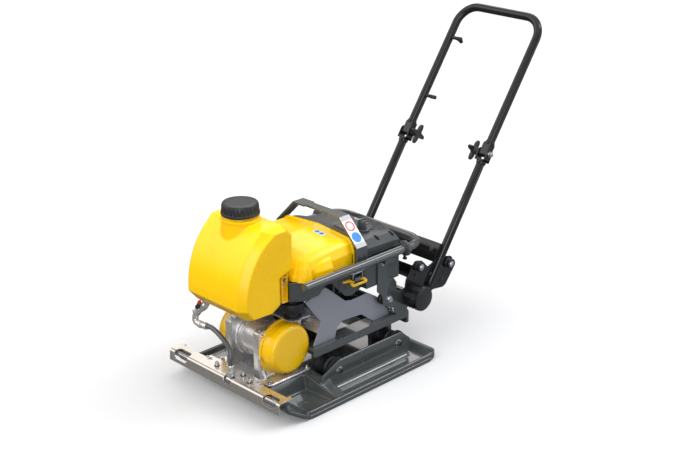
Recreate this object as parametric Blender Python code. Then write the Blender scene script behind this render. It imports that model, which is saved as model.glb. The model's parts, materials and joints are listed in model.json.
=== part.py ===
"""Walk-behind plate compactor with an electric exciter, a sprinkler tank and a folding handle.

Frame: the origin is on the ground at the centre of the base plate's flat underside.
+Z is up, +X is the machine's right side seen from the operator, the handle is at +Y
and the water tank at -Y.  All sizes are in metres.
"""
import math

import bmesh
import bpy
from mathutils import Matrix, Vector

# Driving dimensions
GAP = 0.0003            # clearance between pieces that touch
PLATE_X = 0.250         # half width of the base plate
FLANGE_X = 0.180        # outer face of the upright flanges on the base plate
FLANGE_THICK = 0.008
PAD_TOP = 0.0577        # top of the raised pad under the exciter
EXCITER_Y = -0.205      # exciter shaft axis
EXCITER_Z = 0.150
SHAFT_R = 0.012
BUFFER_Z = 0.062        # axis height of the rubber buffers
BUFFER_Y = {"front": -0.079, "rear": 0.167}
RAIL_X = 0.150          # outer face of the lower frame rails
RAIL_TOP = 0.140
SIDE_PLATE_X = 0.1303   # inner face of the bright side plates
BRACKET_X = 0.1503      # inner face of the rear pivot brackets
TRAY_X = 0.1497         # half width of the console tray
TRAY_RIM = 0.358
GUARD_X = 0.182         # centre line of the guard tube
GUARD_Z = 0.363
GUARD_R = 0.0125
HANDLE_X = 0.1614       # centre line of the handle tubes
HANDLE_R = 0.013
PIVOT_Y = 0.244         # handle pivot axis
PIVOT_Z = 0.1915
FOLD_Y = 0.567          # fold joint of the upper handle
FOLD_Z = 0.560
FORK_IN = 0.1415        # inner face of the fold forks
FORK_OUT = 0.1792       # outer face of the fold forks
FORK_THICK = 0.004
CAP_Y = -0.277          # axis of the tank's filler neck
SIDES = {"right": 1, "left": -1}
AXES = {"X": Vector((1, 0, 0)), "Y": Vector((0, 1, 0)), "Z": Vector((0, 0, 1))}


# ---------------------------------------------------------------- materials

def make_material(name, colour, roughness, metallic=0.0):
    finish = bpy.data.materials.new(name)
    finish.use_nodes = True
    shader = finish.node_tree.nodes["Principled BSDF"]
    shader.inputs["Base Color"].default_value = (*colour, 1.0)
    shader.inputs["Roughness"].default_value = roughness
    shader.inputs["Metallic"].default_value = metallic
    finish.diffuse_color = (*colour, 1.0)
    return finish


YELLOW_PLASTIC = make_material("yellow_plastic", (0.95, 0.66, 0.01), 0.35)
YELLOW_PAINT = make_material("yellow_paint", (0.90, 0.60, 0.01), 0.30)
GREY_PAINT = make_material("grey_paint", (0.055, 0.065, 0.068), 0.40, 0.2)
GREY_PLASTIC = make_material("grey_plastic", (0.060, 0.065, 0.070), 0.50)
BLACK_PAINT = make_material("black_paint", (0.012, 0.012, 0.013), 0.35, 0.2)
BLACK_PLASTIC = make_material("black_plastic", (0.020, 0.020, 0.022), 0.50)
RUBBER = make_material("rubber", (0.012, 0.012, 0.012), 0.75)
ZINC = make_material("zinc_sheet", (0.62, 0.60, 0.56), 0.30, 1.0)
SILVER_PAINT = make_material("silver_paint", (0.36, 0.37, 0.42), 0.40, 0.6)
CAST_ALUMINIUM = make_material("cast_aluminium", (0.55, 0.55, 0.55), 0.45, 1.0)
STEEL = make_material("steel", (0.60, 0.60, 0.62), 0.25, 1.0)
BRASS = make_material("nickel_brass", (0.70, 0.68, 0.64), 0.25, 1.0)
COPPER = make_material("copper_winding", (0.55, 0.20, 0.08), 0.40, 1.0)


# ---------------------------------------------------------------- shape tools

def finish_object(name, mesh, finish, sharp_deg=35):
    """Links a mesh as the named object, shades it smooth and gives it its one material."""
    obj = bpy.data.objects.new(name, mesh)
    bpy.context.collection.objects.link(obj)
    mesh.materials.clear()
    mesh.materials.append(finish)
    mesh.shade_smooth()
    mesh.set_sharp_from_angle(angle=math.radians(sharp_deg))
    return obj


def from_faces(name, points, faces, finish):
    """An object from a list of points and faces, its normals turned outwards."""
    bm = bmesh.new()
    verts = [bm.verts.new(point) for point in points]
    for face in faces:
        bm.faces.new([verts[index] for index in face])
    bmesh.ops.recalc_face_normals(bm, faces=bm.faces)
    mesh = bpy.data.meshes.new(name)
    bm.to_mesh(mesh)
    bm.free()
    return finish_object(name, mesh, finish)


def rounded(corners, radius, steps=4, closed=True):
    """The corners (2-D or 3-D) with each one replaced by an arc; a corner may carry its own radius."""
    points = [Vector(corner[0]) if isinstance(corner[0], tuple) else Vector(corner) for corner in corners]
    radii = [corner[1] if isinstance(corner[0], tuple) else radius for corner in corners]
    result = []
    count = len(points)
    for index, point in enumerate(points):
        at_end = not closed and index in (0, count - 1)
        before = points[index - 1]
        after = points[(index + 1) % count]
        into = (before - point).normalized()
        out = (after - point).normalized()
        turn = math.pi - into.angle(out) if not at_end else 0.0
        if at_end or turn < 0.02 or radii[index] <= 0:
            result.append(point)
            continue
        reach = radii[index] * math.tan(turn / 2)
        centre = point + (into + out).normalized() * (radii[index] / math.cos(turn / 2))
        start = point + into * reach - centre
        end = point + out * reach - centre
        for step in range(steps + 1):
            share = step / steps
            arm = (start * math.sin((1 - share) * turn) + end * math.sin(share * turn)) / math.sin(turn)
            result.append(centre + arm)
    return result


def lay(point, axis, height):
    """A 2-D outline point lifted to 3-D: (y, z) for axis X, (x, z) for axis Y, (x, y) for axis Z."""
    first, second = point[0], point[1]
    if axis == "X":
        return Vector((height, first, second))
    if axis == "Y":
        return Vector((first, height, second))
    return Vector((first, second, height))


def loft(name, rings, finish):
    """A closed solid through rings of equal point counts, with flat ends."""
    count = len(rings[0])
    points = [point for ring in rings for point in ring]
    faces = [list(range(count)), list(range(len(points) - count, len(points)))]
    for level in range(len(rings) - 1):
        base = level * count
        for index in range(count):
            after = (index + 1) % count
            faces.append([base + index, base + after, base + count + after, base + count + index])
    return from_faces(name, points, faces, finish)


def prism(name, outline, axis, low, high, finish):
    """A 2-D outline pushed along an axis from low to high."""
    rings = [[lay(point, axis, height) for point in outline] for height in (low, high)]
    return loft(name, rings, finish)


def box(name, low, high, finish):
    outline = [(low[0], low[1]), (high[0], low[1]), (high[0], high[1]), (low[0], high[1])]
    return prism(name, outline, "Z", low[2], high[2], finish)


def frame_along(direction):
    """Two unit vectors square to a direction."""
    helper = Vector((0, 0, 1)) if abs(direction.z) < 0.9 else Vector((0, 1, 0))
    across = direction.cross(helper).normalized()
    return across, direction.cross(across).normalized()


def turned(name, profile, centre, axis, finish, segments=24, ring=False):
    """A profile of (radius, distance along the axis) turned about an axis through a point.

    An open profile starts and ends on the axis; with ring=True it is a closed loop off the axis.
    """
    direction = AXES[axis] if isinstance(axis, str) else Vector(axis).normalized()
    across, up = frame_along(direction)
    origin = Vector(centre)
    points = []
    rows = []
    for radius, height in profile:
        if radius < 1e-6:
            rows.append([len(points)] * segments)
            points.append(origin + direction * height)
            continue
        rows.append([len(points) + step for step in range(segments)])
        for step in range(segments):
            angle = 2 * math.pi * step / segments
            arm = across * math.cos(angle) + up * math.sin(angle)
            points.append(origin + direction * height + arm * radius)
    faces = []
    pairs = list(zip(rows, rows[1:]))
    if ring:
        pairs.append((rows[-1], rows[0]))
    for lower, upper in pairs:
        for step in range(segments):
            after = (step + 1) % segments
            face = [lower[step], lower[after], upper[after], upper[step]]
            face = list(dict.fromkeys(face))
            if len(face) > 2:
                faces.append(face)
    return from_faces(name, points, faces, finish)


def rod(name, radius, start, end, finish, segments=16):
    """A solid round bar between two points."""
    start, end = Vector(start), Vector(end)
    length = (end - start).length
    profile = [(0, 0), (radius, 0), (radius, length), (0, length)]
    return turned(name, profile, start, end - start, finish, segments)


def swept_tube(name, path, radius, finish, sides=12):
    """A round bar swept along a path of points, its section turned as little as possible."""
    path = [Vector(point) for point in path]
    heading = (path[1] - path[0]).normalized()
    across = frame_along(heading)[0]
    rings = []
    for index, point in enumerate(path):
        into = (point - path[index - 1]).normalized() if index else heading
        out = (path[index + 1] - point).normalized() if index + 1 < len(path) else into
        tangent = (into + out).normalized()
        across = (across - tangent * across.dot(tangent)).normalized()
        up = tangent.cross(across)
        stretch = 1 / max(tangent.dot(into), 0.5)
        ring = []
        for step in range(sides):
            angle = 2 * math.pi * step / sides
            ring.append(point + (across * math.cos(angle) + up * math.sin(angle)) * radius * stretch ** 0.5)
        rings.append(ring)
    return loft(name, rings, finish)


def combine(target, others, operation="UNION"):
    """Applies Booleans of the others to the target and removes them."""
    for other in others:
        modifier = target.modifiers.new("join", "BOOLEAN")
        modifier.object = other
        modifier.operation = operation
        modifier.solver = "EXACT"
    depsgraph = bpy.context.evaluated_depsgraph_get()
    mesh = bpy.data.meshes.new_from_object(target.evaluated_get(depsgraph))
    name, finish = target.name, target.data.materials[0]
    for obj in [target, *others]:
        bpy.data.objects.remove(obj, do_unlink=True)
    bm = bmesh.new()
    bm.from_mesh(mesh)
    bmesh.ops.remove_doubles(bm, verts=bm.verts, dist=2e-6)
    bmesh.ops.dissolve_degenerate(bm, edges=bm.edges, dist=1e-6)
    bm.to_mesh(mesh)
    bm.free()
    return finish_object(name, mesh, finish)


def cut(target, cutters):
    return combine(target, cutters, "DIFFERENCE")


def left_copy(right, name):
    """The mirror image of a right-hand piece, on the left side."""
    mesh = right.data.copy()
    mesh.transform(Matrix.Scale(-1, 4, (1, 0, 0)))
    mesh.flip_normals()
    return finish_object(name, mesh, right.data.materials[0])


def shell(name, obj, open_face, thickness):
    """Takes the faces that open_face picks off a closed shape and walls the rest inwards."""
    bm = bmesh.new()
    bm.from_mesh(obj.data)
    bmesh.ops.dissolve_limit(bm, angle_limit=math.radians(1), verts=bm.verts, edges=bm.edges)
    bm.normal_update()
    bmesh.ops.delete(bm, geom=[face for face in bm.faces if open_face(face)], context="FACES")
    mesh = bpy.data.meshes.new(name)
    bm.to_mesh(mesh)
    bm.free()
    finish = obj.data.materials[0]
    bpy.data.objects.remove(obj, do_unlink=True)
    obj = finish_object(name, mesh, finish)
    wall = obj.modifiers.new("wall", "SOLIDIFY")
    wall.thickness = thickness
    wall.offset = -1
    wall.use_even_offset = True
    return obj


# ---------------------------------------------------------------- base plate

def base_plate():
    """Cast base: a dished plate with curled front and rear edges, low side rims, a raised pad
    for the exciter, two upright flanges for the rubber buffers and a diagonal rib each side."""
    under = [((-0.262, 0.0), 0.08), ((-0.331, 0.042), 0.02), ((-0.3385, 0.062), 0), ((-0.3385, 0.0817), 0)]
    over = [((-0.3295, 0.0817), 0), ((-0.3295, 0.064), 0), ((-0.321, 0.050), 0.02), ((-0.255, 0.012), 0.06)]
    rear_over = [((0.222, 0.012), 0.04), ((0.252, 0.030), 0.01), ((0.258, 0.032), 0)]
    rear_under = [((0.268, 0.030), 0), ((0.266, 0.016), 0.01), ((0.232, 0.0), 0.03)]
    side_view = rounded(over + rear_over + rear_under + under, 0.0, 4)
    plate = prism("base_plate", side_view, "X", -PLATE_X, PLATE_X, GREY_PAINT)
    rim = [(0.250, 0.008), (0.250, 0.024), (0.241, 0.026), (0.230, 0.008), (0.230, 0.003), (0.243, 0.003)]
    right_rim = prism("rim", rim, "Y", -0.262, 0.256, GREY_PAINT)
    left_rim = left_copy(right_rim, "rim_left")
    plate = combine(plate, [right_rim, left_rim])
    corner = 0.024
    half_plan = [((0.228, -0.360), 0), ((0.236, -0.335), 0.01), ((PLATE_X, -0.268), 0.03), ((PLATE_X, 0.268), corner)]
    left_plan = [((-point[0], point[1]), radius) for point, radius in reversed(half_plan)]
    plan = prism("plan", rounded(half_plan + left_plan, 0.0, 5), "Z", -0.01, 0.1, GREY_PAINT)
    plate = combine(plate, [plan], "INTERSECT")

    pad_side = [(-0.128, 0.009), (-0.116, PAD_TOP), (0.116, PAD_TOP), (0.128, 0.009)]
    pad = prism("pad", pad_side, "Y", -0.300, -0.118, GREY_PAINT)
    below_nose = prism("below_nose", [(-0.310, -0.010), (-0.270, -0.010), (-0.281, 0.0165), (-0.310, 0.0342)], "X",
                       -0.200, 0.200, GREY_PAINT)
    pad = cut(pad, [below_nose])
    flange_side = [(-0.150, 0.008), (-0.144, 0.064), (-0.078, 0.095), (0.182, 0.095), (0.223, 0.060), (0.210, 0.008)]
    flange_in = FLANGE_X - FLANGE_THICK
    flange = prism("flange", rounded(flange_side, 0.010, 3), "X", flange_in, FLANGE_X, GREY_PAINT)
    foot_side = [(FLANGE_X - 0.001, 0.010), (FLANGE_X + 0.016, 0.010), (FLANGE_X + 0.004, 0.018), (FLANGE_X - 0.001, 0.036)]
    foot = prism("foot", foot_side, "Y", -0.140, 0.205, GREY_PAINT)
    rib = diagonal_rib()
    mirrored = [left_copy(piece, piece.name + "_left") for piece in (flange, foot, rib)]
    plate = combine(plate, [pad, flange, foot, rib, *mirrored])
    holes = []
    for y in BUFFER_Y.values():
        for side in SIDES.values():
            start, end = (side * 0.160, y, BUFFER_Z), (side * 0.190, y, BUFFER_Z)
            holes.append(rod("hole", 0.0063, start, end, GREY_PAINT))
    return cut(plate, holes)


def diagonal_rib():
    """A ridge that falls from the pad's corner out to the side rim."""
    low = 0.009
    plan = [(0.105, -0.122, 0.056), (0.118, -0.160, 0.056), (0.241, -0.152, 0.023), (0.246, -0.1120, 0.023),
            (0.176, -0.1180, 0.050)]
    top = [Vector(point) for point in plan]
    base = [Vector((point[0], point[1], low)) for point in plan]
    return loft("rib", [base, top], GREY_PAINT)


# ---------------------------------------------------------------- sprinkler and water line

def sprinkler_bar():
    """Folded sheet along the front edge, slotted across its fold over the spray tube."""
    thick = 0.003
    half = 0.237
    top, front, drop = 0.085, -0.363, 0.051
    outer = [((-0.304, top), 0), ((front, top), 0.009), ((front - 0.002, drop), 0)]
    inner = [((front - 0.002 + thick, drop), 0), ((front + thick, top - thick), 0.006), ((-0.304, top - thick), 0)]
    bar = prism("sprinkler_bar", rounded(outer + inner, 0.0, 5), "X", -half, half, ZINC)
    cutters = []
    for side in SIDES.values():
        low, high = sorted((side * 0.120, side * 0.223))
        cutters.append(box("step", (low, -0.320, 0.07), (high, -0.290, 0.10), ZINC))
        low, high = sorted((side * 0.2225, side * 0.300))
        cutters.append(box("tab", (low, -0.312, 0.07), (high, -0.290, 0.10), ZINC))
    for low, high, width in ((0.170, 0.224, 0.034), (-0.218, -0.158, 0.034), (0.004, 0.036, 0.030)):
        cutters.append(fold_slot(low, high, width, front, top))
    return cut(bar, cutters)


def fold_slot(low, high, width, front, top):
    """A cutter with rounded ends that opens the bar across its fold, square to the corner."""
    radius = width * 0.35
    half = width / 2
    outline = rounded([(low, -half), (high, -half), (high, half), (low, half)], radius, 4)
    corner = Vector((0, front + 0.002, top - 0.002))
    outwards = Vector((0, -1, 1)).normalized()
    along_fold = Vector((0, 1, 1)).normalized()
    rings = []
    for reach in (-0.030, 0.030):
        rings.append([corner + outwards * reach + along_fold * point[1] + Vector((point[0], 0, 0)) for point in outline])
    return loft("slot", rings, ZINC)


def water_line():
    """Spray tube, its inlet fitting, the hose and the ball valve under the tank."""
    tube_y, tube_z = -0.3485, 0.0722
    ring = [(0.0088, -0.237), (0.0088, 0.237), (0.0068, 0.237), (0.0068, -0.237)]
    turned("spray_tube", ring, (0, tube_y, tube_z), "X", STEEL, 16, ring=True)

    inlet = Vector((0.022, -0.3495, 0.0815))
    profile = [(0, 0), (0.0062, 0), (0.0062, 0.006), (0.0115, 0.008), (0.0115, 0.020), (0.0075, 0.022),
               (0.0075, 0.040), (0, 0.040)]
    turned("spray_inlet", profile, inlet, "Z", BRASS, 12)

    valve_axis = Vector((-0.63, -0.14, -0.76)).normalized()
    outlet = Vector((-0.094, -0.3225, 0.2805))
    valve = [(0, 0), (0.008, 0), (0.008, 0.008), (0.013, 0.010), (0.013, 0.020), (0.016, 0.026), (0.016, 0.044),
             (0.013, 0.050), (0.013, 0.060), (0.009, 0.062), (0.009, 0.070), (0, 0.070)]
    turned("valve_body", valve, outlet, valve_axis, BRASS, 12)
    valve_end = outlet + valve_axis * (0.070 + GAP)
    tail_start = Vector((-0.124, -0.336, 0.193))
    bend = Vector((valve_end.x - 0.008, -0.337, 0.196))
    elbow_path = rounded([valve_end, valve_end + valve_axis * 0.006, bend, tail_start], 0.008, 3, closed=False)
    elbow = swept_tube("hose_elbow", elbow_path, 0.008, BRASS, 10)

    tail_axis = Vector((0.96, 0.02, 0.10)).normalized()
    tail = [(0, 0), (0.0105, 0), (0.0105, 0.010), (0.008, 0.012), (0.008, 0.020), (0.0098, 0.022), (0.0098, 0.034),
            (0, 0.034)]
    tail = turned("tail", tail, tail_start - tail_axis * 0.002, tail_axis, BRASS, 12)
    combine(elbow, [tail])

    hose_start = tail_start + tail_axis * 0.0332
    hose_end = inlet + Vector((0, 0, 0.0412))
    guides = [hose_start, hose_start + tail_axis * 0.020, Vector((-0.030, -0.339, 0.189)),
              Vector((0.012, -0.344, 0.168)), hose_end + Vector((0.001, 0.001, 0.022)), hose_end]
    hose("water_hose", smooth_route(guides, 3), 0.0072)

    lever_hub = outlet + valve_axis * 0.035
    valve_lever(lever_hub)


def smooth_route(guides, steps):
    """Points on a Catmull-Rom curve through the guide points."""
    ends = [guides[0] * 2 - guides[1]] + list(guides) + [guides[-1] * 2 - guides[-2]]
    route = []
    for index in range(1, len(ends) - 2):
        a, b, c, d = ends[index - 1:index + 3]
        for step in range(steps):
            t = step / steps
            route.append(0.5 * (2 * b + (c - a) * t + (2 * a - 5 * b + 4 * c - d) * t ** 2
                                + (3 * b - a - 3 * c + d) * t ** 3))
    route.append(guides[-1])
    return route


def hose(name, route, radius):
    """A flexible tube as a bevelled curve through the route's points."""
    curve = bpy.data.curves.new(name, "CURVE")
    curve.dimensions = "3D"
    curve.bevel_depth = radius
    curve.bevel_resolution = 2
    curve.use_fill_caps = True
    spline = curve.splines.new("POLY")
    spline.points.add(len(route) - 1)
    for point, place in zip(spline.points, route):
        point.co = (*place, 1.0)
    curve.materials.append(RUBBER)
    obj = bpy.data.objects.new(name, curve)
    bpy.context.collection.objects.link(obj)
    return obj


def valve_lever(hub):
    """Quarter-turn lever on the front of the ball valve, pointing up when the valve is shut."""
    near = hub.y - 0.018
    stem = rod("valve_lever", 0.006, (hub.x, near, hub.z), (hub.x, near - 0.008, hub.z), BLACK_PLASTIC, 12)
    blade = [(-0.005, 0.0), (0.005, 0.0), (0.0065, 0.028), (-0.0065, 0.028)]
    outline = rounded([(hub.x + point[0], hub.z + point[1]) for point in blade], 0.002, 2)
    plate = prism("blade", outline, "Y", near - 0.007, near - 0.003, BLACK_PLASTIC)
    return combine(stem, [plate])


# ---------------------------------------------------------------- tank

def tank_ring(half_width, profile):
    return [Vector((half_width, point[0], point[1])) for point in profile]


def water_tank():
    """Rotomoulded tank: curved front, chamfered sides, a step cut into its lower back and a filler neck."""
    side = [(-0.248, 0.306), (-0.279, 0.288), (-0.345, 0.291), (-0.368, 0.320), (-0.367, 0.355), (-0.358, 0.400),
            (-0.338, 0.445), (-0.306, 0.486), (-0.262, 0.517), (-0.222, 0.517), (-0.2033, 0.500), (-0.2033, 0.398),
            (-0.250, 0.384)]
    front = [(-0.248, 0.302), (-0.279, 0.2865), (-0.360, 0.2865), (-0.387, 0.318), (-0.386, 0.355), (-0.378, 0.400),
             (-0.360, 0.445), (-0.333, 0.488), (-0.293, 0.530), (-0.225, 0.531), (-0.2033, 0.512), (-0.2033, 0.398),
             (-0.250, 0.384)]
    rings = [tank_ring(x, profile) for x, profile in ((-0.125, side), (-0.103, front), (0.103, front), (0.125, side))]
    body = loft("water_tank", rings, YELLOW_PLASTIC)
    neck = turned("neck", [(0, 0.455), (0.052, 0.455), (0.052, 0.538), (0.046, 0.541), (0.046, 0.566), (0, 0.566)],
                  (0, CAP_Y, 0), "Z", YELLOW_PLASTIC, 32)
    body = combine(body, [neck])
    inside_side = [(-0.252, 0.3105), (-0.281, 0.292), (-0.343, 0.295), (-0.364, 0.322), (-0.363, 0.355), (-0.354, 0.398),
                   (-0.335, 0.442), (-0.304, 0.482), (-0.261, 0.513), (-0.224, 0.513), (-0.2075, 0.498),
                   (-0.2075, 0.402), (-0.254, 0.387)]
    inside_front = [(-0.252, 0.3065), (-0.281, 0.2905), (-0.358, 0.2905), (-0.383, 0.319), (-0.382, 0.355),
                    (-0.374, 0.399), (-0.356, 0.443), (-0.330, 0.485), (-0.2915, 0.526), (-0.2265, 0.527),
                    (-0.2075, 0.510), (-0.2075, 0.402), (-0.254, 0.387)]
    profiles = ((-0.121, inside_side), (-0.101, inside_front), (0.101, inside_front), (0.121, inside_side))
    hollow = loft("hollow", [tank_ring(x, profile) for x, profile in profiles], YELLOW_PLASTIC)
    bore = turned("bore", [(0, 0.500), (0.042, 0.500), (0.042, 0.580), (0, 0.580)], (0, CAP_Y, 0), "Z", YELLOW_PLASTIC, 32)
    hollow = combine(hollow, [bore])
    return cut(body, [hollow])


def tank_cap():
    """Screw cap with a ribbed skirt; it has an open underside over the filler neck."""
    outer = [(0, 0.5815), (0.0475, 0.5815), (0.0505, 0.578), (0.054, 0.552), (0.054, 0.5485)]
    inner = [(0.0475, 0.5485), (0.0465, 0.5665), (0, 0.5665)]
    return turned("tank_cap", outer + inner, (0, CAP_Y, 0), "Z", BLACK_PLASTIC, 24)


def tank_bracket():
    """Channel behind the tank's stepped back, open to the front, that the tank hangs on."""
    back = box("tank_bracket", (-0.120, -0.2190, 0.3035), (0.120, -0.2135, 0.3845), YELLOW_PAINT)
    cheeks = []
    for side in SIDES.values():
        low, high = sorted((side * 0.114, side * 0.120))
        cheeks.append(box("cheek", (low, -0.2390, 0.3035), (high, -0.2150, 0.3800), YELLOW_PAINT))
    return combine(back, cheeks)


# ---------------------------------------------------------------- exciter

def exciter_housing():
    """Cast housing: foot, two end plates with bearing bores and the motor barrel between them."""
    foot = box("exciter_housing", (-0.115, -0.289, PAD_TOP + GAP), (0.115, -0.121, 0.0665), CAST_ALUMINIUM)
    plate_side = [((-0.287, 0.064), 0), ((-0.287, 0.214), 0.010), ((-0.123, 0.214), 0.010), ((-0.123, 0.064), 0)]
    outline = rounded(plate_side, 0.0, 3)
    right = prism("end_plate", outline, "X", 0.047, 0.072, CAST_ALUMINIUM)
    left = left_copy(right, "end_plate_left")
    axis_point = (0, EXCITER_Y, EXCITER_Z)
    barrel = turned("barrel", [(0, -0.050), (0.060, -0.050), (0.060, 0.050), (0, 0.050)], axis_point, "X", CAST_ALUMINIUM, 32)
    housing = combine(foot, [right, left, barrel])
    bore = [(0, -0.090), (0.031, -0.090), (0.031, -0.046), (0.048, -0.046), (0.048, 0.046), (0.031, 0.046),
            (0.031, 0.090), (0, 0.090)]
    return cut(housing, [turned("bore", bore, axis_point, "X", CAST_ALUMINIUM, 32)])


def exciter_covers():
    """Domed pressed covers over the two eccentric weights."""
    outer = [(0, 0.119), (0.058, 0.119), (0.067, 0.1165), (0.073, 0.111), (0.076, 0.102), (0.0765, 0.0765),
             (0.083, 0.0755), (0.083, 0.0723)]
    inner = [(0.0735, 0.0723), (0.0725, 0.101), (0.069, 0.109), (0.057, 0.1155), (0, 0.1155)]
    cover = turned("exciter_cover_right", outer + inner, (0, EXCITER_Y, EXCITER_Z), "X", YELLOW_PAINT, 24)
    left_copy(cover, "exciter_cover_left")


def exciter_drive():
    """The motor inside the barrel and the shaft that carries an eccentric weight at each end."""
    centre = (0, EXCITER_Y, EXCITER_Z)
    ring = [(0.033, -0.034), (0.0477, -0.034), (0.0477, 0.034), (0.033, 0.034)]
    turned("motor_stator", ring, centre, "X", COPPER, 24, ring=True)
    rotor = [(0, -0.107), (SHAFT_R, -0.107), (SHAFT_R, -0.032), (0.032, -0.032), (0.032, 0.032), (SHAFT_R, 0.032),
             (SHAFT_R, 0.107), (0, 0.107)]
    turned("motor_rotor", rotor, centre, "X", STEEL, 24)
    race = [(SHAFT_R + GAP, 0.052), (0.0307, 0.052), (0.0307, 0.068), (SHAFT_R + GAP, 0.068)]
    bearing = turned("shaft_bearing_right", race, centre, "X", STEEL, 24, ring=True)
    left_copy(bearing, "shaft_bearing_left")
    weight = eccentric_weight()
    left_copy(weight, "eccentric_weight_left")


def eccentric_weight():
    """Half disc with a hub, clamped on the shaft end, its heavy side down."""
    radius, hub = 0.060, 0.022
    arc = [math.pi + math.pi * step / 12 for step in range(13)]
    outline = [(EXCITER_Y + radius * math.cos(angle), EXCITER_Z + radius * math.sin(angle)) for angle in arc]
    disc = prism("eccentric_weight_right", outline, "X", 0.080, 0.104, STEEL)
    collar = rod("collar", hub, (0.080, EXCITER_Y, EXCITER_Z), (0.104, EXCITER_Y, EXCITER_Z), STEEL, 24)
    disc = combine(disc, [collar])
    bore = rod("bore", SHAFT_R + GAP, (0.070, EXCITER_Y, EXCITER_Z), (0.120, EXCITER_Y, EXCITER_Z), STEEL, 24)
    return cut(disc, [bore])


def cable_gland():
    """Gland for the motor lead, behind the right end plate."""
    profile = [(0, 0), (0.012, 0), (0.012, 0.010), (0.009, 0.012), (0.009, 0.026), (0, 0.026)]
    turned("motor_cable_gland", profile, (0.0595, -0.123 + GAP, 0.155), "Y", BLACK_PLASTIC, 12)


# ---------------------------------------------------------------- rubber mounts and lower frame

def buffers():
    """Four waisted rubber buffers that hang the frame in the base plate, each with its flange bolt."""
    outer = FLANGE_X - FLANGE_THICK - GAP
    inner = 0.1083
    bore = 0.0053
    deep = 0.150
    for end, y in BUFFER_Y.items():
        profile = [(0, inner), (0.037, inner), (0.037, inner + 0.008), (0.030, inner + 0.016), (0.0265, 0.140),
                   (0.030, outer - 0.016), (0.037, outer - 0.008), (0.037, outer), (bore, outer), (bore, deep),
                   (0, deep)]
        name = "buffer_" + end + "_right"
        buffer = turned(name, profile, (0, y, BUFFER_Z), "X", RUBBER, 16)
        left_copy(buffer, "buffer_" + end + "_left")
        seat = FLANGE_X + GAP
        bolt = [(0, deep + GAP), (0.005, deep + GAP), (0.005, seat), (0.0115, seat), (0.0115, seat + 0.002),
                (0.009, seat + 0.002), (0.009, seat + 0.008), (0, seat + 0.008)]
        bolt = turned("buffer_bolt_" + end + "_right", bolt, (0, y, BUFFER_Z), "X", STEEL, 10)
        left_copy(bolt, "buffer_bolt_" + end + "_left")


def lower_frame():
    """Welded frame: two pressed rails with an outer lip and inner web, joined by two cross channels."""
    web_out, web_in = 0.108, 0.102
    front, rear = -0.148, 0.239
    lip = 0.108
    rail = [(web_in, 0.026), (web_out, 0.026), (web_out, RAIL_TOP - 0.006), (RAIL_X - 0.005, RAIL_TOP - 0.006),
            (RAIL_X - 0.005, lip), (RAIL_X, lip), (RAIL_X, RAIL_TOP), (web_in, RAIL_TOP)]
    right = prism("lower_frame", rail, "Y", front, rear, GREY_PAINT)
    cutters = [prism("web_cut", rounded([(-0.030, -0.1), (0.118, -0.1), (0.118, 0.085), (-0.030, 0.085)], 0.015, 3),
                     "X", 0.09, 0.112, GREY_PAINT)]
    cutters.append(box("front_cut", (0.090, -0.200, 0.0), (0.1235, -0.116, 0.2), GREY_PAINT))
    rear_cut = [(0.214, 0.0), (0.214, 0.085), (0.250, 0.125), (0.250, 0.0)]
    cutters.append(prism("rear_cut", rear_cut, "X", 0.09, 0.160, GREY_PAINT))
    right = cut(right, cutters)
    left = left_copy(right, "rail_left")
    cross = []
    for low, high in ((-0.118, -0.058), (0.150, 0.212)):
        channel = [(low, 0.100), (high, 0.100), (high, 0.134), (high - 0.005, 0.134), (high - 0.005, 0.105),
                   (low + 0.005, 0.105), (low + 0.005, 0.134), (low, 0.134)]
        cross.append(prism("cross", channel, "X", -0.105, 0.105, GREY_PAINT))
    end_side = rounded([(-RAIL_X, 0.094), (RAIL_X, 0.094), (RAIL_X, 0.137), (-RAIL_X, 0.137)], 0.006, 2)
    end_plate = prism("end_plate", end_side, "Y", rear - 0.002, rear + 0.006, GREY_PAINT)
    return combine(right, [left, *cross, end_plate])


def side_plates():
    """Bright X-shaped plates on the rails that carry the console, and the folded sheet between them."""
    foot = RAIL_TOP + GAP
    outline = [(-0.165, 0.286), (-0.106, 0.210), (-0.120, 0.172), (-0.137, foot), (-0.050, foot), (-0.041, 0.170),
               (-0.020, 0.184), (0.057, 0.178), (0.108, foot), (0.176, foot), (0.170, 0.160), (0.142, 0.189),
               (0.122, 0.215), (0.081, 0.239), (0.020, 0.236), (-0.007, 0.242), (-0.087, 0.310)]
    plate = prism("side_plate_right", rounded(outline, 0.003, 2), "X", SIDE_PLATE_X, SIDE_PLATE_X + 0.003, SILVER_PAINT)
    left_copy(plate, "side_plate_left")
    half = SIDE_PLATE_X - GAP
    line = [(-0.147, 0.262), (-0.1075, 0.211), (-0.1210, 0.178)]
    back = [(point[0] + 0.0032, point[1]) for point in reversed(line)]
    sheet = prism("cross_sheet", line + back, "X", -half, half, SILVER_PAINT)
    lug = box("lug", (0.074, -0.213, 0.2350), (0.128, -0.1275, 0.2397), SILVER_PAINT)
    return combine(sheet, [lug, left_copy(lug, "lug_left")])


def front_mounts():
    """Round rubber mounts under the front of the console, on lugs of the cross sheet."""
    x, y = 0.101, -0.185
    top = 0.303 - GAP
    profile = [(0, 0.240), (0.026, 0.240), (0.026, 0.246), (0.019, 0.249), (0.019, 0.262), (0.034, 0.268),
               (0.034, 0.288), (0.020, 0.291), (0.020, top), (0, top)]
    mount = turned("front_mount_right", profile, (x, y, 0), "Z", RUBBER, 16)
    left_copy(mount, "front_mount_left")


# ---------------------------------------------------------------- console

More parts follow.
